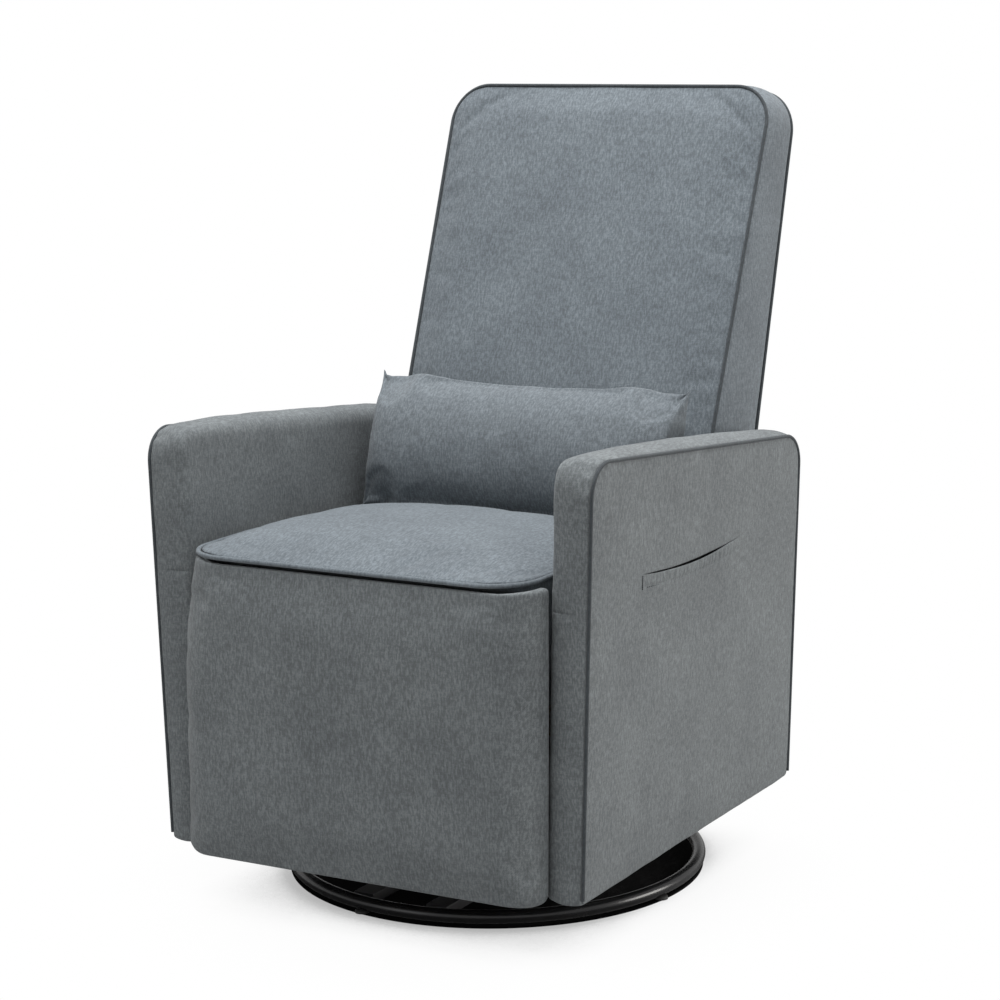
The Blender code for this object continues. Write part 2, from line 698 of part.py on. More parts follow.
# ---------------------------------------------------------------- backrest
def back_half(z):
    return BACK_HALF + BACK_SPREAD * (z - BACK_BASE_Z)


def back_loop(depth, inset=0.0, steps=6):
    """The back's outline at a depth from its front face (0) to its rear face (1)."""
    low = BACK_LOW_FRONT + (BACK_LOW_REAR - BACK_LOW_FRONT) * depth + inset
    top = BACK_TOP_FRONT + (BACK_TOP_REAR - BACK_TOP_FRONT) * depth - inset
    corner = BACK_CORNER - inset * 0.5
    outline = [(-back_half(low) + inset, low)]
    wide = back_half(top) - inset
    outline += arc((-wide + corner, top - corner), corner, 180, 90, steps)
    outline += arc((wide - corner, top - corner), corner, 90, 0, steps)
    outline.append((back_half(low) - inset, low))
    points = []
    for x, z in outline:
        rise = z - BACK_BASE_Z
        front_y = BACK_FRONT_Y + BACK_FRONT_SLOPE * rise
        rear_y = BACK_REAR_Y + BACK_REAR_SLOPE * rise
        points.append((x, front_y + (rear_y - front_y) * depth, z))
    return points


def build_backrest(backrest):
    cushion = [back_loop(0.0, CHAMFER)] + [back_loop(depth) for depth in BACK_FOAM_DEPTHS]
    add_piece("back_cushion", loft(cushion), backrest, "grey_tweed", 35)
    board = [back_loop(depth, BACK_BOARD_INSET) for depth in BACK_BOARD_DEPTHS]
    add_piece("back_board", loft(board), backrest, "plywood", 35)
    rear = [back_loop(depth) for depth in BACK_REAR_DEPTHS] + [back_loop(1.0, CHAMFER)]
    add_piece("back_rear_panel", loft(rear), backrest, "grey_tweed", 35)
    add_welt("back_front_welt", back_loop(0.0), backrest, closed=False)
    add_welt("back_rear_welt", back_loop(1.0), backrest, closed=False)

    pivot = (BACK_PIVOT_Y, BACK_PIVOT_Z)
    foot = back_loop(0.5)[0]
    profile = arc(pivot, BACK_EYE, 150, 390, 8)
    for along, up in (BACK_TANG_REAR, BACK_TANG_FRONT):
        profile.append((foot[1] + along, foot[2] + up))
    for side, name in ((1, "left"), (-1, "right")):
        near, far = side * (BACK_BRACKET_X - PLATE / 2), side * (BACK_BRACKET_X + PLATE / 2)
        obj = add_piece("back_bracket_" + name, side_prism(profile, near, far), backrest, "zinc_steel", 40)
        hole = round_bar("X", near - side * PLATE, far + side * PLATE, pivot, PIN_HOLE)
        boolean(obj, add_cutter("back_pin_hole_" + name, hole, backrest), "DIFFERENCE")


# ---------------------------------------------------------------- footrest
def build_footrest_links(rear_links, front_links):
    for side, name in ((1, "left"), (-1, "right")):
        rear_x, front_x = side * LEG_REAR_X, side * LEG_FRONT_X
        add_link("leg_rear_link_" + name, rear_x, LEG_PIVOT, LEG_KNEE, (LEG_PIVOT, LEG_KNEE), rear_links)
        link = add_link("leg_front_link_" + name, front_x, LEG_KNEE, LEG_TOE, (LEG_TOE,), front_links)
        ends = (front_x, side * (LEG_REAR_X - PLATE / 2 - STUD_REACH))
        add_stud(link, "knee_stud_" + name, *ends, LEG_KNEE, front_links)
    place = [a + (b - a) * LEG_TUBE_SHARE for a, b in zip(LEG_PIVOT, LEG_KNEE)]
    reach = LEG_REAR_X - PLATE / 2 - GAP
    tube = round_bar("X", -reach, reach, place, LEG_TUBE, 12)
    add_piece("leg_cross_tube", tube, rear_links, "black_satin_steel", 40)


def panel_loop(z_at_front, inset, sloped):
    """The footrest pad's outline from above at one level; sloped levels fall towards the back."""
    depth = PANEL_BACK - PANEL_FRONT
    half, front = PANEL_HALF - inset, PANEL_FRONT + inset
    outline = plan_outline(half, front, PANEL_BACK, PANEL_CORNER, 8, depth - inset)
    return [(x, y, z_at_front - sloped * LIP_SLOPE * (y - PANEL_FRONT)) for x, y in outline[1:-1]]


def build_footrest_panel(panel):
    loops = [
        panel_loop(PANEL_LOW, CHAMFER, 0),
        panel_loop(PANEL_LOW + CHAMFER, 0.0, 0),
        panel_loop(PANEL_TOP - CHAMFER, 0.0, 1),
        panel_loop(PANEL_TOP, CHAMFER, 1),
    ]
    add_piece("footrest_pad", loft(loops), panel, "grey_tweed", 35)
    board_front = PANEL_BACK + GAP
    low = (-PANEL_BOARD_HALF, board_front, PANEL_LOW + PANEL_BOARD_LOW)
    high = (PANEL_BOARD_HALF, board_front + BOARD_THICK, PANEL_TOP - PANEL_BOARD_DROP)
    add_piece("footrest_board", box(low, high), panel, "plywood")
    back = board_front + BOARD_THICK + GAP
    toe_y, toe_z = LEG_TOE
    for side, name in ((1, "left"), (-1, "right")):
        profile = [(back, toe_z - TOE_PLATE_HALF), (back, toe_z + TOE_PLATE_HALF)]
        profile += arc(LEG_TOE, TOE_EYE, 60, -60, 6)
        plate = side_prism(profile, side * (LEG_BRACKET_X - PLATE / 2), side * (LEG_BRACKET_X + PLATE / 2))
        obj = add_piece("footrest_bracket_" + name, plate, panel, "zinc_steel", 40)
        ends = (side * LEG_BRACKET_X, side * (LEG_FRONT_X - PLATE / 2 - STUD_REACH))
        add_stud(obj, "toe_stud_" + name, *ends, LEG_TOE, panel)


# ---------------------------------------------------------------- loose pillow
def build_pillow(pillow):
    """A plump lumbar pillow, thickest in the middle and thin at its four edges."""
    half_x, half_h, half_t = PILLOW_HALF
    columns, rows = 14, 8
    bm = bmesh.new()
    c, s = math.cos(PILLOW_LEAN), math.sin(PILLOW_LEAN)
    sheets = []
    for face in (-1, 1):
        grid = []
        for i in range(columns + 1):
            line = []
            u = -math.cos(math.pi * i / columns)
            for k in range(rows + 1):
                v = -math.cos(math.pi * k / rows)
                swell = ((1 - u**8) * (1 - v**4)) ** 0.5
                thick = face * half_t * max(swell, 0.0)
                up = v * half_h
                x = u * half_x
                y = thick * c + up * s
                z = up * c - thick * s
                line.append(bm.verts.new(Vector((x, y, z)) + Vector(PILLOW_CENTRE)))
            grid.append(line)
        sheets.append(grid)
    for grid, front in zip(sheets, (True, False)):
        for i in range(columns):
            for k in range(rows):
                corners = [grid[i][k], grid[i + 1][k], grid[i + 1][k + 1], grid[i][k + 1]]
                bm.faces.new(corners if front else reversed(corners))
    bmesh.ops.remove_doubles(bm, verts=bm.verts, dist=0.0001)
    add_piece("lumbar_pillow", bm, pillow, "grey_tweed", 180, faces_out=True)


# ---------------------------------------------------------------- the whole chair
def build_chair():
    clear_scene()
    base = Body("base", (0.0, 0.0, 0.0))
    plate_low = build_base(base)
    turntable = Body("seat_swivel", (0.0, 0.0, plate_low), base)
    build_turntable(turntable, plate_low)

    main_link = None
    for side, across in ((1, "left"), (-1, "right")):
        for along, y in (("front", -GLIDE_PIN_Y), ("rear", GLIDE_PIN_Y)):
            name = f"swing_link_{along}_{across}"
            body = Body(name, (side * LINK_X, y, GLIDE_PIN_TOP), turntable)
            build_swing_link(name, body, side, y)
            main_link = main_link or body

    carriage = Body("carriage", (LINK_X, -GLIDE_PIN_Y, GLIDE_PIN_TOP - LINK_LENGTH), main_link)
    build_carriage(carriage)
    build_pocket(build_arm("left", 1, carriage), carriage)
    build_release_cup(build_arm("right", -1, carriage), carriage)
    hinge_in, hinge_drop = PADDLE_PIN
    hinge_x = -arm_face(RELEASE_Z) + hinge_in
    hinge_z = RELEASE_Z + RELEASE_HALF_Z - RELEASE_WALL - RELEASE_PLAY - hinge_drop
    build_release_paddle(Body("release", (hinge_x, RELEASE_Y, hinge_z), carriage))

    backrest = Body("recline", (0.0, BACK_PIVOT_Y, BACK_PIVOT_Z), carriage)
    build_backrest(backrest)
    build_pillow(Body("pillow", PILLOW_CENTRE, backrest))

    rear_links = Body("leg_rear", (0.0, *LEG_PIVOT), carriage)
    front_links = Body("leg_front", (0.0, *LEG_KNEE), rear_links)
    build_footrest_links(rear_links, front_links)
    build_footrest_panel(Body("footrest", (0.0, *LEG_TOE), front_links))


build_chair()
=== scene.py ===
"""The looks of the nursery glider chair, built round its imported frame.

Shapes are drawn in the chair's own frame, in metres: Z is the swivel axis, the chair faces -Y, and
+X is the sitter's left.  new_piece() moves them to the row's frame.
"""

import math

import bmesh
import bpy
import numpy as np
from mathutils import Matrix, Vector, noise


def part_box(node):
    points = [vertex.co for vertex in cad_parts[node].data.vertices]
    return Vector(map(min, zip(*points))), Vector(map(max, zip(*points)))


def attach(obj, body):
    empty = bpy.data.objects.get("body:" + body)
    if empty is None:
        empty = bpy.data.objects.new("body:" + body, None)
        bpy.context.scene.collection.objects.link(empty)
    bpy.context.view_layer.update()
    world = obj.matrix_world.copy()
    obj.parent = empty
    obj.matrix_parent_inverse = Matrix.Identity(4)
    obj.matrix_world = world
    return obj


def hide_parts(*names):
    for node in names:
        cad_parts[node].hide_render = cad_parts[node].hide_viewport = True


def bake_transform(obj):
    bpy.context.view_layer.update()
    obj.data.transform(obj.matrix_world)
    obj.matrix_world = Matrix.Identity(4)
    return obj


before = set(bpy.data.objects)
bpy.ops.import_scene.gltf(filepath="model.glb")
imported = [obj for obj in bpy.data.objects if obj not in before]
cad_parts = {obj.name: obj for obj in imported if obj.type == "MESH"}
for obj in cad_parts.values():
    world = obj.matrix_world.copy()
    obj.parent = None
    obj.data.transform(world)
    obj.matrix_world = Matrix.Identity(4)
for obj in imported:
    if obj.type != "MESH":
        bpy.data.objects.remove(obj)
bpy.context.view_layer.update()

# ---- places, from the frame
RING_LOW, RING_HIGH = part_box("base_ring")
SWIVEL_Y = (RING_LOW.y + RING_HIGH.y) / 2
RING_OUTER = (RING_HIGH.x - RING_LOW.x) / 2
PAD_LOW, PAD_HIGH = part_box("arm_left_pad")
SEAT_LOW, SEAT_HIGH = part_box("seat_cushion")
PANEL_LOW, PANEL_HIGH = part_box("footrest_pad")
APRON_LOW, APRON_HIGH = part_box("rear_apron")
POCKET_LOW, POCKET_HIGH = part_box("arm_left_pocket_front")
CUP_LOW, CUP_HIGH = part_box("release_cup")
CUP_MIDDLE = ((CUP_LOW.y + CUP_HIGH.y) / 2 - SWIVEL_Y, (CUP_LOW.z + CUP_HIGH.z) / 2)
CUP_HALF = ((CUP_HIGH.y - CUP_LOW.y) / 2, (CUP_HIGH.z - CUP_LOW.z) / 2)

ARM_INNER = PAD_LOW.x
ARM_FRONT = PAD_LOW.y - SWIVEL_Y
ARM_REAR = PAD_HIGH.y - SWIVEL_Y
ARM_BOTTOM = PAD_LOW.z
ARM_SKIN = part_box("arm_left_outer_panel")[0].x
ARM_OUTER = 0.304
ARM_LEAN = 0.017
ARM_TOP_FRONT = 0.628
ARM_TOP_REAR = 0.570
ARM_CORNER = 0.046
ARM_INNER_CORNER = 0.026
ARM_EDGE = 0.013
ARM_SEAM_Z = 0.443
ARM_CROWN = 0.0095
SIDE_CROWN = 0.0035
SIDE_INSET = 0.0022

SEAT_FRONT = -0.3775
SEAT_REAR = SEAT_HIGH.y - SWIVEL_Y
SEAT_HALF = 0.2425
SEAT_EDGE_Z = 0.4780
SEAT_CORNER = 0.062
SEAT_FACE = -0.322
SEAT_FACE_HALF = 0.2415
SEAT_FACE_CORNER = 0.012
SEAT_LIP = SEAT_EDGE_Z - 0.0215
SEAT_SINK = 0.0125
SEAT_WELT = 0.0031
SEAT_WELT_OUT = 0.0012
SEAT_WELT_END = -0.120

PANEL_FRONT = PANEL_LOW.y - SWIVEL_Y
PANEL_BACK = PANEL_HIGH.y - SWIVEL_Y
PANEL_HALF = PANEL_HIGH.x + 0.0030
PANEL_ROUND = 0.046
PANEL_SMALL_ROUND = 0.008
PANEL_LIP_FALL = 0.40
BOARD_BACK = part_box("footrest_board")[1].y - SWIVEL_Y

BACK_FRONT_Y = 0.141
BACK_FRONT_SLOPE = 0.402
BACK_REAR_Y = 0.309
BACK_REAR_SLOPE = 0.252
BACK_BASE_Z = 0.500
BACK_HALF = 0.2425
BACK_SPREAD = 0.0148
BACK_TOP = (1.041, 1.029)
BACK_LOW = (0.400, 0.318)
BACK_CORNER = 0.053
BACK_BULGE = 0.0036
APRON_ROUND = 0.006

POCKET_FRONT = POCKET_LOW.y - SWIVEL_Y
POCKET_REAR = POCKET_HIGH.y - SWIVEL_Y
POCKET_FLOOR = POCKET_LOW.z
SLIT_Z = 0.4655
SLIT_SAG = 0.0065
HEM = 0.015
GAPE = 0.0026
PUCKER = 0.0016
PUCKER_PITCH = 0.0105

PILLOW_CENTRE = np.array((0.0, 0.083, 0.557))
PILLOW_LEAN = math.radians(20)
PILLOW_HALF = (0.2355, 0.091, 0.064)
PILLOW_EAR = (0.008, 0.010)
WELT = 0.0024
CLOTH_FRAMES = 20


# ---- mesh making
class Patchwork:
    """Grids of points that are sewn together where their edges meet."""

    def __init__(self):
        self.points, self.places, self.faces = [], {}, []

    def spot(self, point):
        key = tuple(round(float(c) * 1e6) for c in point)
        if key not in self.places:
            self.places[key] = len(self.points)
            self.points.append(tuple(float(c) for c in point))
        return self.places[key]

    def grid(self, rows, skip=None):
        rows = np.asarray(rows)
        ids = [[self.spot(p) for p in row] for row in rows]
        for i in range(len(ids) - 1):
            for k in range(len(ids[0]) - 1):
                if skip is not None and skip(rows[i : i + 2, k : k + 2].mean((0, 1))):
                    continue
                corners = (ids[i][k], ids[i + 1][k], ids[i + 1][k + 1], ids[i][k + 1])
                face = list(dict.fromkeys(corners))
                if len(face) > 2:
                    self.faces.append(face)


def border(rows):
    """The closed edge loop of a grid."""
    edges = [rows[:-1, 0], rows[-1, :-1], rows[:0:-1, -1], rows[0, :0:-1], rows[:1, 0]]
    return np.concatenate(edges)


def stack(layers):
    """A body whose first and last layers are grids and whose sides run through every layer's border."""
    patch = Patchwork()
    patch.grid(layers[0])
    for near, far in zip(layers, layers[1:]):
        patch.grid(np.stack([border(near), border(far)]))
    patch.grid(layers[-1])
    return patch


def add_object(name, data):
    obj = bpy.data.objects.new(name, data)
    bpy.context.scene.collection.objects.link(obj)
    return obj


def new_piece(name, patch, outward=True):
    points = [(x, y + SWIVEL_Y, z) for x, y, z in patch.points]
    mesh = bpy.data.meshes.new(name)
    mesh.from_pydata(points, [], patch.faces)
    if outward:
        bm = bmesh.new()
        bm.from_mesh(mesh)
        bmesh.ops.recalc_face_normals(bm, faces=bm.faces)
        bm.to_mesh(mesh)
        bm.free()
    mesh.shade_smooth()
    return add_object(name, mesh)


def finish_piece(obj, look, body, nodes=(), subdivide=0):
    if subdivide:
        smooth = obj.modifiers.new("fine", "SUBSURF")
        smooth.levels = smooth.render_levels = subdivide
    obj.data.materials.append(look)
    if body:
        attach(obj, body)
    if nodes:
        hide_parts(*nodes)


def unit(value):
    return np.clip(value, 0, 1)


def bell(value, width):
    return np.exp(-((value / width) ** 2))


def xyz(x, y, z):
    return np.stack(np.broadcast_arrays(x, y, z), -1)


def crowd(count, pull=0.55):
    """Steps from -1 to 1, closer together near both ends."""
    t = np.linspace(-1, 1, count + 1)
    return (1 - pull) * t + pull * np.sin(t * np.pi / 2)


def lines(*stops):
    """Values from stop to stop: value, count, value, count, value ..."""
    out = [np.array([stops[0]])]
    for start, count, end in zip(stops[::2], stops[1::2], stops[2::2]):
        out.append(np.linspace(start, end, count + 1)[1:])
    return np.concatenate(out)


def round_corners(across, up, low_radius, high_radius):
    """A grid over two lists of values, with its four corners rounded."""
    u, v = np.meshgrid(across, up, indexing="ij")
    middle, half = (across[0] + across[-1]) / 2, abs(across[-1] - across[0]) / 2
    for sign, radius, edge in ((1, high_radius, up[-1]), (-1, low_radius, up[0])):
        du = np.abs(u - middle) - (half - radius)
        dv = sign * (v - edge) + radius
        inside = (du > 0) & (dv > 0)
        length = np.maximum(np.hypot(du, dv), 1e-9)
        scale = np.maximum(du, dv) / length
        new_u = middle + np.sign(u - middle) * (half - radius + du * scale)
        new_v = edge - sign * (radius - dv * scale)
        u, v = np.where(inside, new_u, u), np.where(inside, new_v, v)
    return u, v


def points_of(obj):
    co = np.zeros(len(obj.data.vertices) * 3)
    obj.data.vertices.foreach_get("co", co)
    co = co.reshape(-1, 3)
    co[:, 1] -= SWIVEL_Y
    return co


def set_points(obj, co):
    co = co.copy()
    co[:, 1] += SWIVEL_Y
    obj.data.vertices.foreach_set("co", co.ravel())
    obj.data.update()


def normals_of(obj):
    out = np.zeros(len(obj.data.vertices) * 3)
    obj.data.vertex_normals.foreach_get("vector", out)
    return out.reshape(-1, 3)


def ruffle(obj, height, size, weight=1.0, seed=0.0):
    """Small soft unevenness of the stuffing under the cloth."""
    co, normal = points_of(obj), normals_of(obj)
    shift = Vector((seed, 2 * seed, 3 * seed))
    wave = np.array([noise.noise(Vector(p) / size + shift) for p in co])
    set_points(obj, co + normal * (wave * height * weight)[:, None])


def puff(obj, free, pressure, most, grow, stiffness=12.0):
    """Rounds out a piece as stuffed cloth, by most at the most.

    free is 1 where it may move and 0 where it is sewn; grow is the share of spare cloth.
    """
    start = points_of(obj)
    group = obj.vertex_groups.new(name="sewn")
    group.add([int(i) for i in np.flatnonzero(free <= 0)], 1.0, "REPLACE")
    cloth = obj.modifiers.new("cloth", "CLOTH")
    settings = cloth.settings
    settings.quality = 5
    settings.mass = 0.3
    settings.tension_stiffness = settings.compression_stiffness = stiffness
    settings.shear_stiffness = stiffness / 3
    settings.bending_stiffness = 0.4
    settings.use_pressure = True
    settings.uniform_pressure_force = pressure
    settings.shrink_min = -grow
    settings.effector_weights.gravity = 0.0
    settings.vertex_group_mass = "sewn"
    cloth.point_cache.frame_start = 1
    cloth.point_cache.frame_end = CLOTH_FRAMES
    scene = bpy.context.scene
    for step in range(1, CLOTH_FRAMES + 1):
        scene.frame_set(step)
    evaluated = obj.evaluated_get(bpy.context.evaluated_depsgraph_get())
    shift = points_of(evaluated) - start
    obj.modifiers.remove(cloth)
    obj.vertex_groups.remove(group)
    scene.frame_set(1)
    length = np.linalg.norm(shift, axis=1)
    capped = np.minimum(length, most) / np.maximum(length, 1e-9)
    set_points(obj, start + shift * capped[:, None])


def tube(name, path, radius, sides=10, closed=False):
    """A round cord along a path of points in the chair's frame."""
    path = np.asarray(path, float)
    if closed:
        ahead = np.roll(path, -1, 0) - np.roll(path, 1, 0)
    else:
        ahead = np.gradient(path, axis=0)
    ahead /= np.linalg.norm(ahead, axis=1)[:, None]
    side = np.cross(ahead[0], (0.3, 0.5, 0.8))
    rings = []
    for i in range(len(path)):
        side = side - ahead[i] * (side @ ahead[i])
        side /= np.linalg.norm(side)
        up = np.cross(ahead[i], side)
        angle = np.linspace(0, 2 * np.pi, sides + 1)
        rings.append(path[i] + radius * (np.cos(angle)[:, None] * side + np.sin(angle)[:, None] * up))
    rings = np.array(rings)
    if closed:
        rings = np.concatenate([rings, rings[:1]])
    patch = Patchwork()
    patch.grid(rings)
    if not closed:
        for ring in (rings[0], rings[-1]):
            centre = ring[:-1].mean(0)
            patch.grid(np.stack([ring, np.repeat(centre[None], len(ring), 0)]))
    return new_piece(name, patch)


def stitches(name, path, pitch, length, radius):
    """A row of short thread stitches along a path, on the carriage."""
    path = np.asarray(path, float)
    run = np.concatenate([[0], np.cumsum(np.linalg.norm(np.diff(path, axis=0), axis=1))])
    patch = Patchwork()
    for start in np.arange(0, run[-1] - length, pitch):
        along = start + length * np.array([0, 0.15, 0.5, 0.85, 1])
        middle = np.stack([np.interp(along, run, path[:, k]) for k in range(3)], 1)
        ahead = middle[-1] - middle[0]
        ahead /= np.linalg.norm(ahead)
        side = np.cross(ahead, (1.0, 0.0, 0.0))
        side /= np.linalg.norm(side)
        up = np.cross(ahead, side)
        angle = np.linspace(0, 2 * np.pi, 7)
        size = radius * np.array([0.2, 0.8, 1, 0.8, 0.2])
        circle = np.cos(angle)[:, None] * side + np.sin(angle)[:, None] * up
        patch.grid([middle[i] + size[i] * circle for i in range(5)])
    finish_piece(new_piece(name, patch), THREAD, "carriage")


# ---- materials
WEAVE_PITCH = 0.0021
TWEED_SPREAD = 0.34
WEBBING_PITCH = 0.003
WEBBING_BAND = 0.030
WEBBING_EDGE = 0.0022


class Look:
    """A Principled material with a few helpers for its nodes."""

    def __init__(self, name, roughness, metallic=0.0, specular=0.5, sheen=0.0, coat=0.0):
        self.mat = bpy.data.materials.new(name)
        self.mat.use_nodes = True
        self.tree = self.mat.node_tree
        self.shader = self.tree.nodes["Principled BSDF"]
        finish = {"Roughness": roughness, "Metallic": metallic, "Specular IOR Level": specular}
        finish.update({"Sheen Weight": sheen, "Sheen Roughness": 0.5})
        finish.update({"Coat Weight": coat, "Coat Roughness": 0.12})
        for key, value in finish.items():
            self.shader.inputs[key].default_value = value

    def node(self, kind, inputs=None, **settings):
        made = self.tree.nodes.new(kind)
        for key, value in settings.items():
            setattr(made, key, value)
        for key, value in (inputs or {}).items():
            if isinstance(value, bpy.types.NodeSocket):
                self.tree.links.new(value, made.inputs[key])
            else:
                made.inputs[key].default_value = value
        return made

    def math(self, operation, a, b=0.0):
        return self.node("ShaderNodeMath", {0: a, 1: b}, operation=operation).outputs[0]

    def times(self, a, b):
        return self.math("MULTIPLY", a, b)

    def plus(self, a, b):
        return self.math("ADD", a, b)

    def weave(self, across, along, pitch):
        """Crossing waves, one per yarn each way."""
        turn = 2 * math.pi / pitch
        warp = self.math("SINE", self.times(across, turn))
        weft = self.math("SINE", self.times(along, turn))
        return self.times(warp, weft)

    def scaled(self, x, y, z, factors):
        parts = [self.times(part, factor) for part, factor in zip((x, y, z), factors)]
        return self.node("ShaderNodeCombineXYZ", dict(enumerate(parts))).outputs[0]

    def noise(self, vector, scale=1.0, detail=2.0, roughness=0.5):
        inputs = {"Vector": vector, "Scale": scale, "Detail": detail, "Roughness": roughness}
        return self.node("ShaderNodeTexNoise", inputs).outputs[0]

    def ramp(self, factor, stops):
        made = self.node("ShaderNodeValToRGB", {0: factor})
        elements = made.color_ramp.elements
        while len(elements) < len(stops):
            elements.new(0.5)
        for element, (place, colour) in zip(elements, stops):
            element.position = place
            element.color = (*colour, 1.0)
        return made.outputs[0]

    def mix(self, factor, a, b, kind="MIX"):
        inputs = {0: factor, 6: a, 7: b}
        return self.node("ShaderNodeMix", inputs, data_type="RGBA", blend_type=kind).outputs[2]

    def place(self):
        made = self.node("ShaderNodeTexCoord")
        x, y, z = self.node("ShaderNodeSeparateXYZ", {0: made.outputs["Object"]}).outputs
        return made, x, y, z

    def cloth_axes(self):
        """Across, along and through the cloth: the warp runs up walls and backwards on flats."""
        made, x, y, z = self.place()
        nx, ny, nz = self.node("ShaderNodeSeparateXYZ", {0: made.outputs["Normal"]}).outputs
        flat = self.math("GREATER_THAN", self.math("ABSOLUTE", nz), 0.74)
        sideways = self.math("GREATER_THAN", self.math("ABSOLUTE", nx), self.math("ABSOLUTE", ny))

        def pick(switch, off, on):
            return self.node("ShaderNodeMix", {0: switch, 2: off, 3: on}).outputs[0]

        across = pick(flat, pick(sideways, x, y), x)
        along = pick(flat, z, y)
        through = pick(flat, pick(sideways, y, x), z)
        return made.outputs["Object"], across, along, through

    def set(self, colour=None, roughness=None, height=None, distance=0.0002, strength=1.0):
        if colour is not None:
            self.tree.links.new(colour, self.shader.inputs["Base Color"])
        if roughness is not None:
            self.tree.links.new(roughness, self.shader.inputs["Roughness"])
        if height is not None:
            inputs = {"Height": height, "Distance": distance, "Strength": strength}
            bump = self.node("ShaderNodeBump", inputs)
            self.tree.links.new(bump.outputs[0], self.shader.inputs["Normal"])
        return self.mat


def shade(colour, factor):
    return tuple(min(c * factor, 1.0) for c in colour)


def tweed(name, colour, contrast=1.0):
    """Heathered basket weave: fine upright slubs, pale and dark flecks, and a soft cloudiness."""
    look = Look(name, 0.92, specular=0.25, sheen=0.12)
    place, across, along, through = look.cloth_axes()
    slub = look.noise(look.scaled(across, along, through, (430, 120, 160)), detail=2.5)
    fleck = look.noise(look.scaled(across, along, through, (540, 300, 300)), detail=3.0, roughness=0.65)
    weft = look.noise(look.scaled(across, along, through, (110, 900, 200)), detail=2.0)
    cloud = look.noise(place, scale=11.0, detail=3.0)
    mixed = look.plus(look.times(slub, 0.46), look.times(fleck, 0.36))
    mixed = look.plus(mixed, look.times(weft, 0.18))
    spread = TWEED_SPREAD * contrast
    levels = ((0.34, 1 - spread), (0.47, 1 - 0.15 * contrast))
    levels += ((0.55, 1 + 0.13 * contrast), (0.66, 1 + 1.1 * spread))
    yarns = look.ramp(mixed, [(at, shade(colour, level)) for at, level in levels])
    clouds = look.ramp(cloud, [(0.3, (0.90, 0.90, 0.905)), (0.7, (1.09, 1.09, 1.085))])
    clouded = look.mix(1.0, yarns, clouds, "MULTIPLY")
    weave = look.weave(across, along, WEAVE_PITCH)
    height = look.plus(look.times(weave, 0.35), look.times(mixed, 2.2))
    return look.set(clouded, None, height, distance=0.0005, strength=0.55)


def gloss_paint(name, colour, roughness, coat):
    look = Look(name, roughness, specular=0.5, coat=coat)
    place, *_ = look.place()
    speck = look.noise(place.outputs["Object"], scale=420.0, detail=2.0)
    dust = look.noise(place.outputs["Object"], scale=35.0, detail=4.0)
    tint = look.ramp(dust, [(0.35, colour), (0.75, shade(colour, 1.7))])
    rough = look.plus(look.times(dust, 0.14), roughness - 0.05)
    return look.set(tint, rough, speck, distance=0.00006, strength=0.5)


def zinc(name):
    look = Look(name, 0.32, metallic=1.0)
    place, x, y, z = look.place()
    grain = look.noise(look.scaled(x, y, z, (900, 60, 60)), detail=3.0)
    cloud = look.noise(place.outputs["Object"], scale=70.0, detail=4.0)
    tint = look.ramp(cloud, [(0.3, (0.42, 0.43, 0.45)), (0.7, (0.62, 0.61, 0.58))])
    rough = look.plus(look.times(grain, 0.25), 0.22)
    return look.set(tint, rough, grain, distance=0.00004)


def plywood(name):
    look = Look(name, 0.72, specular=0.3)
    _, x, y, z = look.place()
    ring = look.noise(look.scaled(x, y, z, (26, 3.2, 26)), detail=4.0)
    fibre = look.noise(look.scaled(x, y, z, (620, 26, 620)), detail=3.0)
    bands = look.math("FRACT", look.times(ring, 9.0))
    late, early, middle = (0.36, 0.22, 0.11), (0.55, 0.39, 0.22), (0.50, 0.34, 0.19)
    wood = look.ramp(bands, [(0.0, late), (0.35, early), (1.0, middle)])
    streaks = look.ramp(fibre, [(0.35, (0.80, 0.78, 0.74)), (0.65, (1.05, 1.05, 1.05))])
    return look.set(look.mix(1.0, wood, streaks, "MULTIPLY"), None, fibre, distance=0.0002)


def webbing(name):
    look = Look(name, 0.9, specular=0.2)
    _, x, y, z = look.place()
    weave = look.weave(x, y, WEBBING_PITCH)
    edge = look.math("LESS_THAN", look.math("PINGPONG", x, WEBBING_BAND), WEBBING_EDGE)
    yarn = look.noise(look.scaled(x, y, z, (700, 90, 90)), detail=2.0)
    tint = look.ramp(yarn, [(0.35, (0.035, 0.033, 0.03)), (0.65, (0.09, 0.085, 0.078))])
    tint = look.mix(edge, tint, (0.01, 0.01, 0.01, 1.0))
    return look.set(tint, None, weave, distance=0.0004)


def plastic(name, colour, roughness=0.45):
    look = Look(name, roughness, specular=0.5)
    place, *_ = look.place()
    grain = look.noise(place.outputs["Object"], scale=1500.0, detail=1.0)
    wear = look.noise(place.outputs["Object"], scale=55.0, detail=5.0)
    tint = look.ramp(wear, [(0.4, colour), (0.8, shade(colour, 1.8))])
    rough = look.plus(look.times(wear, 0.2), roughness - 0.08)
    return look.set(tint, rough, grain, distance=0.00008)


